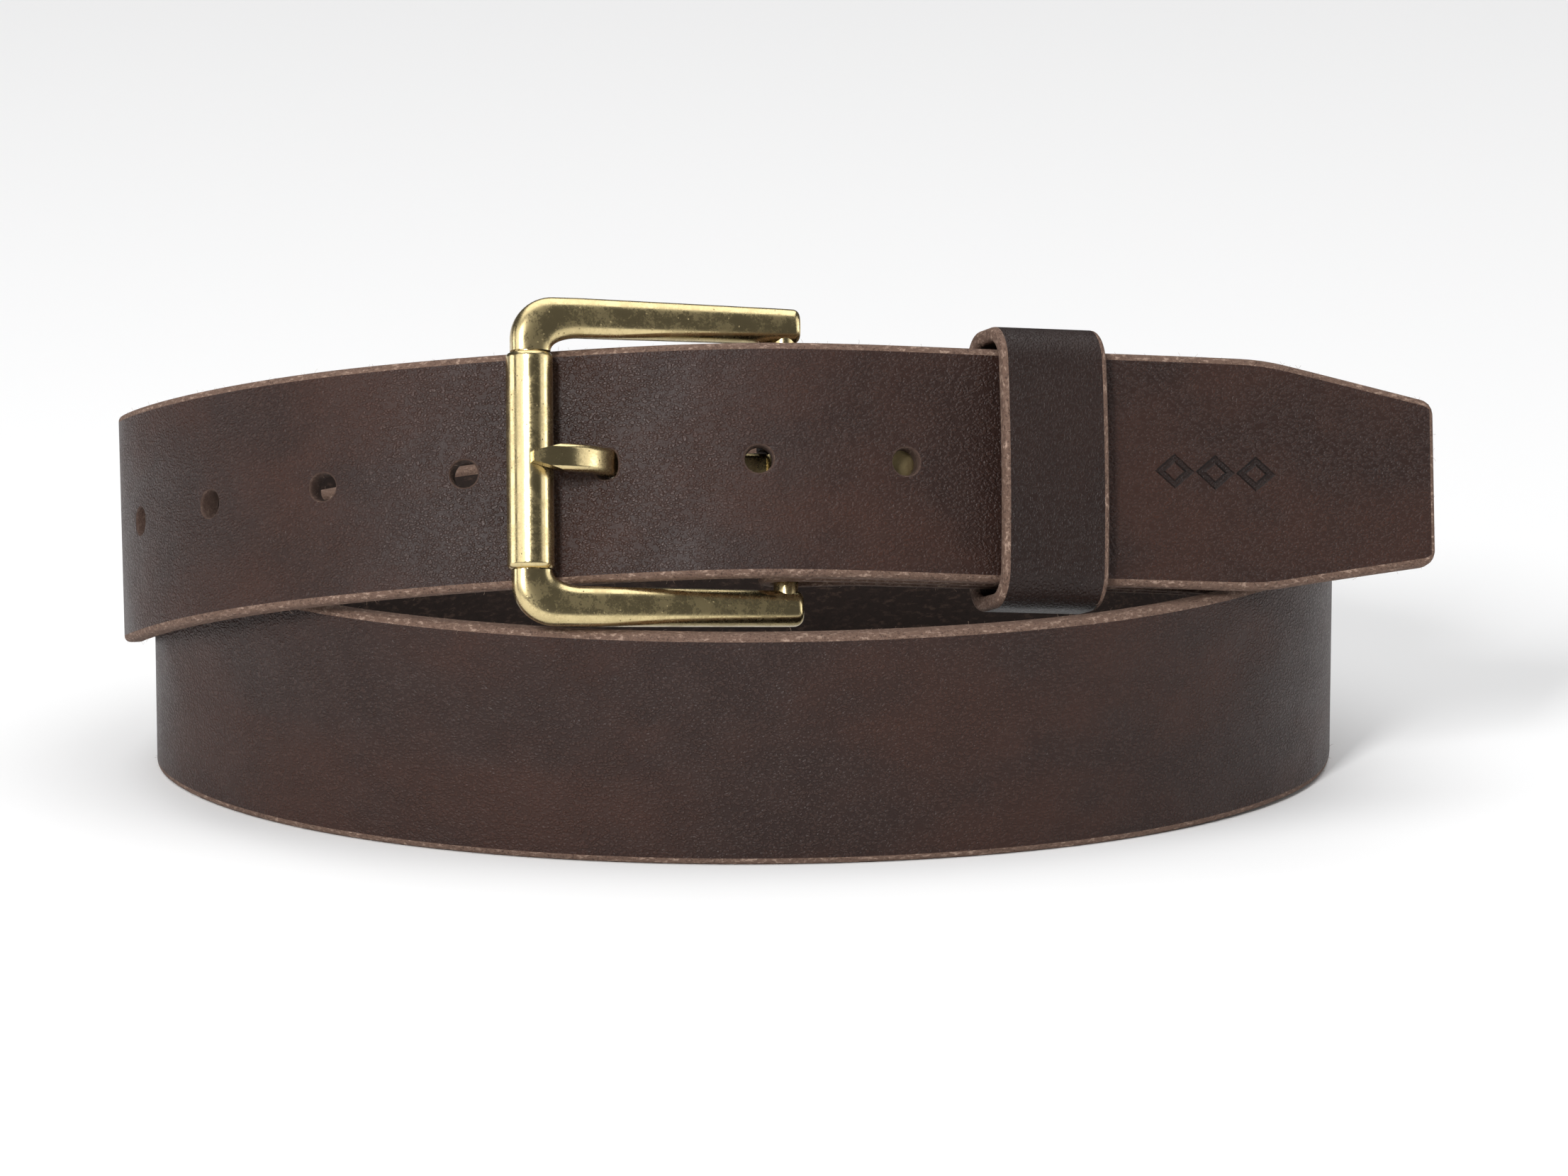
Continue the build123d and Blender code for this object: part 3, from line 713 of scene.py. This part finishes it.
def buckle_place(lay):
    """Turns a point in the buckle's frame (along, outwards, across) into its place."""
    centre, _, across, out = lay.belt.place(lay.belt.length)
    heel = centre - lay.wrap * out + lay.home
    low, high = (np.array(v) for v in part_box("roller"))
    way = (low + high) / 2 - heel
    along = unit(way - way.dot(across) * across)
    out = np.cross(across, along)
    return lambda p: heel + p[0] * along + p[1] * out + p[2] * across


def rail_outline(buckle):
    """Pairs of outer and inner points (along, across) from a rail's free end round its corner."""
    front_x = buckle.bar_spacing + buckle.front_overhang
    inner_x = front_x - buckle.width_front
    start_x = inner_x - buckle.fillet_long
    top = buckle.window_half + buckle.width_front
    drop = buckle.window_half - buckle.shoulder
    pairs = []
    for x in np.linspace(-buckle.heel_overhang, start_x, 26):
        share = (x + buckle.heel_overhang) / (start_x + buckle.heel_overhang)
        outer = buckle.window_half + buckle.width_heel + (buckle.width_front - buckle.width_heel) * share
        pairs.append(((x, outer), (x, buckle.window_half)))
    for share in np.linspace(0, 1, 30)[1:]:
        bend = math.pi / 2 * share
        inner = (inner_x - buckle.fillet_long * (1 - math.sin(bend)),
                 buckle.window_half - drop * (1 - math.cos(bend)))
        run = start_x + (front_x - buckle.corner - inner_x + buckle.fillet_long) * min(1.0, share / TURN_FROM)
        turn = math.pi / 2 * min(1.0, max(0.0, (share - TURN_FROM) / TURN_SPAN))
        fall = max(0.0, (share - FALL_FROM) / (1 - FALL_FROM)) * (top - buckle.corner - buckle.shoulder)
        outer = (run + buckle.corner * math.sin(turn), top - buckle.corner * (1 - math.cos(turn)) - fall)
        pairs.append((outer, inner))
    return pairs


def frame_mesh(lay, buckle):
    """The frame: two rails with their corners, the heel bar and the front bar."""
    bars = Bars(buckle_place(lay))
    for sign in (1, -1):
        stations = []
        for (ox, oz), (ix, iz) in rail_outline(buckle):
            outer, inner = np.array([ox, 0.0, sign * oz]), np.array([ix, 0.0, sign * iz])
            side = outer - inner
            half = np.linalg.norm(side) / 2
            stations.append(((outer + inner) / 2, side / (2 * half), half, buckle.depth / 2))
        centre, side, half, deep = stations[0]
        shrunk = []
        for angle in np.linspace(0, math.pi / 2, 7):
            less = RAIL_END_ROUND * (1 - math.sin(angle))
            shift = RAIL_END_ROUND * (1 - math.cos(angle))
            shrunk.append((centre + np.array([shift, 0.0, 0.0]), side, half - less, deep - less))
        kept = [s for s in stations if s[0][0] > centre[0] + 1.2 * RAIL_END_ROUND]
        bars.sweep(shrunk + kept, RAIL_SQUARE)
    up = np.array([1.0, 0.0, 0.0])
    for x, radius, reach in ((0.0, buckle.heel_radius, buckle.window_half + buckle.width_heel / 2),
                             (buckle.bar_spacing, buckle.front_radius, buckle.window_half)):
        bars.sweep([(np.array([x, 0.0, z]), up, radius, radius) for z in np.linspace(-reach, reach, 9)], 2.0)
    return bars.mesh("buckle_frame_brass")


# ---------------------------------------------------------------- node helpers
def link(tree, a, b):
    tree.links.new(a, b)


def node(tree, kind, inputs=(), **settings):
    """A node with its settings, and its inputs linked or given values."""
    made = tree.nodes.new(kind)
    for key, value in settings.items():
        setattr(made, key, value)
    for key, value in dict(inputs).items():
        if isinstance(value, bpy.types.NodeSocket):
            link(tree, value, made.inputs[key])
        else:
            made.inputs[key].default_value = value
    return made


def maths(tree, operation, a, b=0.0):
    return node(tree, "ShaderNodeMath", {0: a, 1: b}, operation=operation).outputs[0]


def times(tree, a, b):
    return maths(tree, "MULTIPLY", a, b)


def ramp(tree, value, low, high, to_low=0.0, to_high=1.0):
    return node(tree, "ShaderNodeMapRange", {0: value, 1: low, 2: high, 3: to_low, 4: to_high},
                interpolation_type="SMOOTHSTEP").outputs[0]


def mix(tree, factor, a, b):
    a, b = (v if isinstance(v, bpy.types.NodeSocket) else (*v, 1.0) for v in (a, b))
    return node(tree, "ShaderNodeMix", {0: factor, 6: a, 7: b}, data_type="RGBA").outputs[2]


def stretched(tree, vector, scale):
    return node(tree, "ShaderNodeVectorMath", {0: vector, 1: scale}, operation="MULTIPLY").outputs[0]


def parted(tree, vector):
    return node(tree, "ShaderNodeSeparateXYZ", {0: vector}).outputs


def noise_node(tree, vector, scale, detail, roughness=0.5):
    return node(tree, "ShaderNodeTexNoise", {"Vector": vector, "Scale": scale, "Detail": detail,
                                             "Roughness": roughness})


def noise(tree, vector, scale, detail, roughness=0.5):
    return noise_node(tree, vector, scale, detail, roughness).outputs[0]


def shade(share, tone):
    return tuple(share * v for v in tone)


def new_group(name, inputs, outputs):
    """A shader node group with named inputs (name, socket type, default) and outputs."""
    group = bpy.data.node_groups.new(name, "ShaderNodeTree")
    for label, kind, default in inputs:
        socket = group.interface.new_socket(label, in_out="INPUT", socket_type=kind)
        if default is not None:
            socket.default_value = default
    for label, kind in outputs:
        group.interface.new_socket(label, in_out="OUTPUT", socket_type=kind)
    return group, group.nodes.new("NodeGroupInput"), group.nodes.new("NodeGroupOutput")


def pebble_group():
    """Fine pebbled grain of smooth leather: a height, a crease mask and a broad mottle."""
    group, given, made = new_group("leather_pebble", [
        ("Place", "NodeSocketVector", None), ("Pebble", "NodeSocketFloat", 0.0005)],
        [("Height", "NodeSocketFloat"), ("Crease", "NodeSocketFloat"), ("Mottle", "NodeSocketFloat")])
    place, pebble = given.outputs[0], given.outputs[1]
    per_metre = maths(group, "DIVIDE", 1.0, pebble)
    warp = noise_node(group, place, times(group, per_metre, 0.45), 2.0).outputs[1]
    shift = stretched(group, warp, (0.0009, 0.0009, 0.0))
    bent = node(group, "ShaderNodeVectorMath", {0: place, 1: shift}, operation="ADD").outputs[0]
    flat = stretched(group, bent, (0.8, 1.15, 1.0))
    cells = node(group, "ShaderNodeTexVoronoi", {"Vector": flat, "Scale": per_metre}, feature="F1").outputs[0]
    fine = noise(group, place, times(group, per_metre, 1.6), 3.0)
    slow = noise(group, place, 140.0, 3.0, 0.6)
    crease = times(group, ramp(group, cells, 0.30, 0.62), ramp(group, slow, 0.30, 0.70, 0.65, 1.0))
    height = maths(group, "SUBTRACT", times(group, fine, 0.6), times(group, crease, 0.8))
    mottle = noise(group, stretched(group, place, (1.0, 1.6, 1.0)), 28.0, 4.0, 0.55)
    for value, socket in zip((height, crease, mottle), made.inputs):
        link(group, value, socket)
    return group


def press_group():
    """A row of three lozenges pressed into the leather near the pointed end."""
    group, given, made = new_group("pressed_mark", [
        ("Place", "NodeSocketVector", None), ("Middle", "NodeSocketFloat", 0.040),
        ("Pitch", "NodeSocketFloat", 0.0074), ("Height", "NodeSocketFloat", 0.0062)],
        [("Mask", "NodeSocketFloat")])
    place, middle, pitch, tall = given.outputs[:4]
    run, side, face = parted(group, place)
    along = maths(group, "DIVIDE", maths(group, "SUBTRACT", run, middle), pitch)
    inside = maths(group, "LESS_THAN", maths(group, "ABSOLUTE", along), 1.5)
    cell = maths(group, "SUBTRACT", maths(group, "FRACT", maths(group, "ADD", along, 0.5)), 0.5)
    across = maths(group, "DIVIDE", side, tall)
    reach = maths(group, "ADD", maths(group, "ABSOLUTE", cell), maths(group, "ABSOLUTE", across))
    line = times(group, ramp(group, reach, 0.50, 0.43), ramp(group, reach, 0.22, 0.30))
    front = maths(group, "GREATER_THAN", face, 0.0)
    link(group, times(group, line, times(group, inside, front)), made.inputs[0])
    return group


def fibre_group():
    """Raw cut leather: light and dark fibres that run along the cut."""
    group, given, made = new_group("raw_fibre", [("Place", "NodeSocketVector", None)], [
        ("Height", "NodeSocketFloat"), ("Light", "NodeSocketFloat"), ("Dark", "NodeSocketFloat")])
    place = given.outputs[0]
    long = noise(group, stretched(group, place, (0.5, 1.0, 1.0)), 1700.0, 4.0, 0.7)
    short = noise(group, place, 2600.0, 4.0, 0.65)
    broad = noise(group, place, 300.0, 3.0, 0.6)
    height = maths(group, "ADD", times(group, long, 0.7), times(group, short, 0.5))
    light = times(group, ramp(group, long, 0.50, 0.66), ramp(group, broad, 0.35, 0.65, 0.35, 1.0))
    dark = times(group, ramp(group, short, 0.52, 0.34), ramp(group, broad, 0.65, 0.35, 0.4, 1.0))
    for value, socket in zip((height, light, dark), made.inputs):
        link(group, value, socket)
    return group


def metal_group():
    """Antique brass: patina mottle and tiny pits."""
    group, given, made = new_group("antique_metal", [("Place", "NodeSocketVector", None)], [
        ("Patina", "NodeSocketFloat"), ("Pits", "NodeSocketFloat"), ("Height", "NodeSocketFloat")])
    place = given.outputs[0]
    broad = noise(group, place, 260.0, 5.0, 0.62)
    fine = noise(group, place, 2600.0, 4.0, 0.6)
    pits = node(group, "ShaderNodeTexVoronoi", {"Vector": place, "Scale": 1150.0, "Randomness": 1.0},
                feature="F1")
    chosen = maths(group, "GREATER_THAN", parted(group, pits.outputs["Color"])[0], 0.78)
    pit = times(group, ramp(group, pits.outputs["Distance"], 0.20, 0.08), chosen)
    patina = maths(group, "ADD", times(group, broad, 0.65), times(group, fine, 0.35))
    height = maths(group, "SUBTRACT", times(group, fine, 0.25), pit)
    for value, socket in zip((ramp(group, patina, 0.40, 0.62), pit, height), made.inputs):
        link(group, value, socket)
    return group


def shared_outputs(tree, name, maker, inputs):
    """Outputs of a shared group, built once and placed here with its own values."""
    group = bpy.data.node_groups.get(name) or maker()
    return node(tree, "ShaderNodeGroup", inputs, node_tree=group).outputs


def new_material(name):
    material = bpy.data.materials.new(name)
    material.use_nodes = True
    tree = material.node_tree
    tree.nodes.clear()
    shader = tree.nodes.new("ShaderNodeBsdfPrincipled")
    link(tree, shader.outputs[0], tree.nodes.new("ShaderNodeOutputMaterial").inputs[0])
    return material, tree, shader


def bump(tree, height, strength, distance, normal=None):
    inputs = {"Height": height, "Strength": strength, "Distance": distance}
    if normal is not None:
        inputs["Normal"] = normal
    return node(tree, "ShaderNodeBump", inputs).outputs[0]


def finish(tree, shader, linked, **constants):
    """Links the values that change over the surface, and sets the others on the shader."""
    for name, value in linked.items():
        link(tree, value, shader.inputs[name])
    for name, value in constants.items():
        shader.inputs[name.replace("_", " ")].default_value = value


def lay_place(tree):
    return node(tree, "ShaderNodeAttribute", attribute_name="lay").outputs["Vector"]


def object_place(tree):
    return node(tree, "ShaderNodeTexCoord").outputs["Object"]


def grain_material(looks, marked):
    material, tree, shader = new_material("leather_grain" if marked else "leather_keeper_grain")
    # dark is a painted shade tone, used in the creases and on the keeper
    place, dark = lay_place(tree), shade(0.40, looks.grain)
    height, crease, mottle = shared_outputs(tree, "leather_pebble", pebble_group,
                                            {"Place": place, "Pebble": looks.pebble})
    base = mix(tree, ramp(tree, mottle, 0.38, 0.66), looks.grain, looks.grain_warm)
    # painted sheen: the tops of the pebbles are lightened towards the sheen colour
    painted_sheen = times(tree, ramp(tree, crease, 0.0, 1.0, 0.20, 0.0), ramp(tree, mottle, 0.75, 0.25))
    base = mix(tree, painted_sheen, base, looks.grain_sheen)
    # painted shade: the creases between the pebbles are darkened towards the dark tone
    base = mix(tree, times(tree, crease, 0.40), base, dark)
    normal = bump(tree, height, 0.85, 0.00020)
    if marked:
        mark = shared_outputs(tree, "pressed_mark", press_group, {"Place": place})[0]
        base = mix(tree, times(tree, mark, 0.75), base, shade(0.25, looks.grain))
        normal = bump(tree, times(tree, mark, -1.0), 1.0, 0.0009, normal)
    else:
        # painted shade: the keeper's colour is darkened towards the dark tone
        base = mix(tree, KEEPER_PAINTED_SHADE, base, dark)
    normal = bump(tree, noise(tree, place, 90.0, 2.0), 0.35, 0.0012, normal)
    rough = maths(tree, "ADD", ramp(tree, mottle, 0.3, 0.7, 0.33, 0.42), times(tree, crease, 0.12))
    finish(tree, shader, {"Base Color": base, "Roughness": rough, "Normal": normal}, Specular_IOR_Level=0.28)
    return material


def edge_material(looks):
    material, tree, shader = new_material("leather_raw_edge")
    place = lay_place(tree)
    height, light, dark = shared_outputs(tree, "raw_fibre", fibre_group, {"Place": place})
    base = mix(tree, times(tree, dark, 0.85), looks.edge, looks.edge_dark_and_wall_shade)
    base = mix(tree, times(tree, light, 0.75), base, looks.edge_light)
    run, side, _ = parted(tree, place)
    # painted shade: raw leather near the middle line, such as the hole and slot walls, is darkened towards
    # the edge's dark tone
    inner = maths(tree, "LESS_THAN", maths(tree, "ABSOLUTE", side), HOLE_WALL_SHADE_REACH)
    inner = times(tree, inner, maths(tree, "GREATER_THAN", run, HOLE_WALL_SHADE_FROM))
    base = mix(tree, times(tree, inner, 0.8), base, looks.edge_dark_and_wall_shade)
    finish(tree, shader, {"Base Color": base, "Normal": bump(tree, height, 1.0, 0.00045)},
           Roughness=0.85, Specular_IOR_Level=0.3)
    return material


def flesh_material(looks):
    material, tree, shader = new_material("leather_flesh")
    place = stretched(tree, lay_place(tree), (0.7, 0.7, 0.7))
    height, light, dark = shared_outputs(tree, "raw_fibre", fibre_group, {"Place": place})
    base = mix(tree, times(tree, dark, 0.6), looks.flesh, shade(0.5, looks.flesh))
    base = mix(tree, times(tree, light, 0.35), base, looks.edge)
    finish(tree, shader, {"Base Color": base, "Normal": bump(tree, height, 0.6, 0.00022)},
           Roughness=0.8, Specular_IOR_Level=0.3)
    return material


def fibre_material(looks):
    material, tree, shader = new_material("leather_stray_fibre")
    tone = ramp(tree, noise(tree, object_place(tree), 900.0, 2.0), 0.35, 0.65)
    finish(tree, shader, {"Base Color": mix(tree, tone, looks.edge, looks.edge_light)}, Roughness=0.9)
    return material


def metal_material(name, bright, dark, roughness):
    material, tree, shader = new_material(name)
    patina, pits, height = shared_outputs(tree, "antique_metal", metal_group, {"Place": object_place(tree)})
    base = mix(tree, times(tree, patina, 0.32), bright, dark)
    base = mix(tree, times(tree, pits, 0.60), base, shade(0.18, dark))
    rough = ramp(tree, patina, 0.0, 1.0, roughness - 0.04, roughness + 0.08)
    rough = maths(tree, "ADD", rough, times(tree, pits, 0.3))
    normal = bump(tree, height, 0.35, 0.00006)
    finish(tree, shader, {"Base Color": base, "Roughness": rough, "Normal": normal}, Metallic=1.0)
    return material


# ---------------------------------------------------------------- stray fibres
def fibre_tree():
    """Geometry nodes: short bent fibres scattered over the raw edges."""
    tree = bpy.data.node_groups.new("stray_fibres", "GeometryNodeTree")
    for label, kind, default in (
            ("Geometry", "NodeSocketGeometry", None), ("Density", "NodeSocketFloat", 400000.0),
            ("Seed", "NodeSocketInt", 0), ("Fibre length", "NodeSocketFloat", 0.001),
            ("Fibre radius", "NodeSocketFloat", 0.00002), ("Material", "NodeSocketMaterial", None)):
        socket = tree.interface.new_socket(label, in_out="INPUT", socket_type=kind)
        if default is not None:
            socket.default_value = default
    tree.interface.new_socket("Geometry", in_out="OUTPUT", socket_type="NodeSocketGeometry")
    given, made = tree.nodes.new("NodeGroupInput"), tree.nodes.new("NodeGroupOutput")
    source, density, seed, reach, radius, material = given.outputs[:6]
    index = node(tree, "GeometryNodeInputMaterialIndex").outputs[0]
    chosen = node(tree, "FunctionNodeCompare", {2: index, 3: EDGE},
                  data_type="INT", operation="EQUAL").outputs[0]
    scatter = node(tree, "GeometryNodeDistributePointsOnFaces", {
        "Mesh": source, "Selection": chosen, "Density": density, "Seed": seed})
    arc = node(tree, "GeometryNodeCurveQuadraticBezier", {
        "Resolution": 3, "Start": (0, 0, -0.1), "Middle": (0.05, 0, 0.5), "End": (0.5, 0, 0.85)}).outputs[0]
    ring = node(tree, "GeometryNodeCurvePrimitiveCircle", {
        "Resolution": 3, "Radius": maths(tree, "DIVIDE", radius, reach)}).outputs[0]
    tube = node(tree, "GeometryNodeCurveToMesh", {
        "Curve": arc, "Profile Curve": ring, "Fill Caps": True}).outputs[0]
    turn = node(tree, "FunctionNodeRandomValue", {0: (-1.1, -1.1, 0.0), 1: (1.1, 1.1, 6.28), "Seed": seed},
                data_type="FLOAT_VECTOR").outputs[0]
    spin = node(tree, "FunctionNodeEulerToRotation", {0: turn}).outputs[0]
    pose = node(tree, "FunctionNodeRotateRotation", {0: scatter.outputs["Rotation"], 1: spin},
                rotation_space="LOCAL").outputs[0]
    amount = node(tree, "FunctionNodeRandomValue", {2: 0.25, 3: 1.0, "Seed": seed},
                  data_type="FLOAT").outputs[1]
    laid = node(tree, "GeometryNodeInstanceOnPoints", {
        "Points": scatter.outputs[0], "Instance": tube, "Rotation": pose,
        "Scale": times(tree, amount, reach)}).outputs[0]
    real = node(tree, "GeometryNodeRealizeInstances", {0: laid}).outputs[0]
    named = node(tree, "GeometryNodeSetMaterial", {"Geometry": real, "Material": material}).outputs[0]
    link(tree, named, made.inputs[0])
    return tree


def baked(name, source, tree, values):
    """The source mesh after a geometry node tree, as a new object without modifiers."""
    carrier = bpy.data.objects.new(name + "_source", source)
    bpy.context.scene.collection.objects.link(carrier)
    modifier = carrier.modifiers.new("build", "NODES")
    modifier.node_group = tree
    for item in tree.interface.items_tree:
        if item.in_out == "INPUT" and item.name in values:
            modifier[item.identifier] = values[item.name]
    bpy.context.view_layer.update()
    depsgraph = bpy.context.evaluated_depsgraph_get()
    mesh = bpy.data.meshes.new_from_object(carrier.evaluated_get(depsgraph), depsgraph=depsgraph)
    bpy.data.objects.remove(carrier)
    mesh.name = name
    return add_object(name, mesh)


def add_object(name, data):
    made = bpy.data.objects.new(name, data)
    bpy.context.scene.collection.objects.link(made)
    return made


def leather_object(name, mesh, looks, marked):
    edge = bpy.data.materials.get("leather_raw_edge") or edge_material(looks)
    flesh = bpy.data.materials.get("leather_flesh") or flesh_material(looks)
    for material in (grain_material(looks, marked), edge, flesh):
        mesh.materials.append(material)
    return add_object(name, mesh)


def cad_material(name, material):
    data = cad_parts[name].data
    data.materials.clear()
    data.materials.append(material)
    data.polygons.foreach_set("use_smooth", [True] * len(data.polygons))


# ---------------------------------------------------------------- operators
class BELT_OT_strap(bpy.types.Operator):
    """Builds the strap with its holes, fold and raw edges"""
    bl_idname = "belt.strap"
    bl_label = "Strap"

    def execute(self, context):
        scene = context.scene
        lay = Lay(scene.belt_strap, scene.belt_keeper)
        strap = leather_object("strap_leather", strap_mesh(lay), scene.belt_looks, True)
        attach(strap, "strap")
        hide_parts("strap")
        return {"FINISHED"}


class BELT_OT_keeper(bpy.types.Operator):
    """Builds the keeper loop"""
    bl_idname = "belt.keeper"
    bl_label = "Keeper"

    def execute(self, context):
        scene = context.scene
        lay = Lay(scene.belt_strap, scene.belt_keeper)
        mesh = keeper_mesh(lay, scene.belt_keeper)
        keeper = leather_object("keeper_leather", mesh, scene.belt_looks, False)
        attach(keeper, "keeper")
        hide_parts("keeper_loop")
        return {"FINISHED"}


class BELT_OT_fibres(bpy.types.Operator):
    """Scatters stray fibres over the raw edges of the strap and the keeper"""
    bl_idname = "belt.fibres"
    bl_label = "Stray fibres"

    def execute(self, context):
        looks = context.scene.belt_looks
        tree, material = fibre_tree(), fibre_material(looks)
        for source, body, slot, share in (("strap_leather", "strap", "leather", STRAP_FIBRES),
                                          ("keeper_leather", "keeper", "leather_keeper", 1.0)):
            mesh = bpy.data.objects[source].data.copy()
            fibres = baked(body + "_fibres", mesh, tree, {
                "Density": looks.fibre_density * share, "Seed": looks.fibre_seed,
                "Fibre length": looks.fibre_length, "Fibre radius": looks.fibre_radius, "Material": material})
            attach(fibres, body)
        return {"FINISHED"}


class BELT_OT_frame(bpy.types.Operator):
    """Builds the buckle's frame with its flared corners"""
    bl_idname = "belt.frame"
    bl_label = "Buckle frame"

    def execute(self, context):
        scene, looks = context.scene, context.scene.belt_looks
        lay = Lay(scene.belt_strap, scene.belt_keeper)
        mesh = frame_mesh(lay, scene.belt_buckle)
        mesh.materials.append(metal_material("brass_frame", looks.brass, looks.brass_dark, 0.25))
        made = add_object("buckle_frame_brass", mesh)
        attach(made, "buckle")
        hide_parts("buckle_frame")
        return {"FINISHED"}


class BELT_OT_metal(bpy.types.Operator):
    """Finishes the roller, the prong, the snaps and the staple"""
    bl_idname = "belt.metal"
    bl_label = "Metal"

    def execute(self, context):
        looks = context.scene.belt_looks
        roller = metal_material("brass_roller", looks.brass, looks.brass_dark, 0.22)
        prong = metal_material("brass_prong", looks.brass, looks.brass_dark, 0.23)
        snap = metal_material("brass_snap", looks.brass, looks.brass_dark, 0.35)
        steel = metal_material("steel_wire", looks.steel, shade(0.6, looks.steel), 0.3)
        cad_material("roller", roller)
        cad_material("prong", prong)
        for name in ("snap_caps", "snap_sockets", "snap_studs", "snap_posts"):
            cad_material(name, snap)
        cad_material("keeper_staple", steel)
        return {"FINISHED"}


SENSOR_WIDTH = 36.0           # millimetres

# name, place, aim, size, and which power with how much of it
LIGHTS = (("top", (0.0, 0.6, 2.2), (0.0, 0.6, 0.0), (3.0, 3.0), "key_power", 1.0),
          ("glow", (-0.36, -1.15, 0.72), (0.0, 0.0, 0.06), (0.20, 0.34), "glow_power", 1.0),
          ("left", (-1.08, -0.92, 0.70), (0.0, 0.0, 0.05), (1.00, 0.90), "side_power", 1.0),
          ("right", (1.45, -0.34, 0.65), (0.0, 0.0, 0.05), (0.90, 0.90), "side_power", 0.7),
          ("left_low", (-1.55, 0.10, 0.25), (0.0, 0.0, 0.03), (0.70, 0.50), "side_power", 0.6),
          ("right_low", (1.55, 0.10, 0.25), (0.0, 0.0, 0.03), (0.70, 0.50), "side_power", 0.6))


class BELT_OT_stage(bpy.types.Operator):
    """Sets the floor, the soft lights and the camera"""
    bl_idname = "belt.stage"
    bl_label = "Stage"

    def execute(self, context):
        scene, stage = context.scene, context.scene.belt_stage
        half = stage.floor_size / 2
        mesh = bpy.data.meshes.new("floor")
        corners = [(-half, -half, 0), (half, -half, 0), (half, half, 0), (-half, half, 0)]
        mesh.from_pydata(corners, [], [(0, 1, 2, 3)])
        material, tree, shader = new_material("floor_paper")
        tone = ramp(tree, noise(tree, object_place(tree), 3.0, 2.0), 0.0, 1.0, 0.99, 1.0)
        finish(tree, shader, {"Base Color": mix(tree, tone, shade(0.9, stage.floor), stage.floor)},
               Roughness=0.9, Specular_IOR_Level=0.1)
        mesh.materials.append(material)
        objects = [add_object("floor", mesh)]
        for name, at, aim, extent, power, share in LIGHTS:
            data = bpy.data.lights.new(name, "AREA")
            data.shape, data.energy = "RECTANGLE", share * getattr(stage, power)
            data.size, data.size_y = extent
            lamp = add_object(name, data)
            lamp.location = at
            lamp.rotation_euler = (Vector(aim) - Vector(at)).to_track_quat("-Z", "Y").to_euler()
            objects.append(lamp)
        world = bpy.data.worlds.new("studio")
        world.use_nodes = True
        world.node_tree.nodes["Background"].inputs[0].default_value = (*stage.world, 1.0)
        scene.world = world
        data = bpy.data.cameras.new("camera")
        data.lens, data.sensor_width = stage.lens, SENSOR_WIDTH
        camera = add_object("camera", data)
        away, pitch = stage.camera_distance, stage.camera_pitch
        back, up = away * math.cos(pitch), away * math.sin(pitch)
        camera.location = Vector(stage.camera_aim) + Vector((0.0, -back, up))
        camera.rotation_euler = (math.pi / 2 - pitch, 0.0, 0.0)
        scene.camera = camera
        scene.view_settings.view_transform = "Standard"
        return {"FINISHED"}


class BELT_PT_panel(bpy.types.Panel):
    """Sizes and looks of the belt"""
    bl_label = "Roller buckle belt"
    bl_idname = "BELT_PT_panel"
    bl_space_type = "VIEW_3D"
    bl_region_type = "UI"
    bl_category = "Belt"

    def draw(self, context):
        for name, group in GROUPS.items():
            box = self.layout.box()
            for key in group.__annotations__:
                box.prop(getattr(context.scene, name), key)
        for operator in OPERATORS:
            self.layout.operator(operator.bl_idname)


OPERATORS = (BELT_OT_strap, BELT_OT_keeper, BELT_OT_fibres, BELT_OT_frame, BELT_OT_metal, BELT_OT_stage)


def register():
    for group in (*GROUPS.values(), *OPERATORS, BELT_PT_panel):
        bpy.utils.register_class(group)
    for name, group in GROUPS.items():
        setattr(bpy.types.Scene, name, bpy.props.PointerProperty(type=group))


def unregister():
    for name in GROUPS:
        delattr(bpy.types.Scene, name)
    for group in reversed((*GROUPS.values(), *OPERATORS, BELT_PT_panel)):
        bpy.utils.unregister_class(group)


def main():
    register()
    for name in ("strap", "keeper", "fibres", "frame", "metal", "stage"):
        getattr(bpy.ops.belt, name)()
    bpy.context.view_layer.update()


if __name__ == "__main__":
    main()
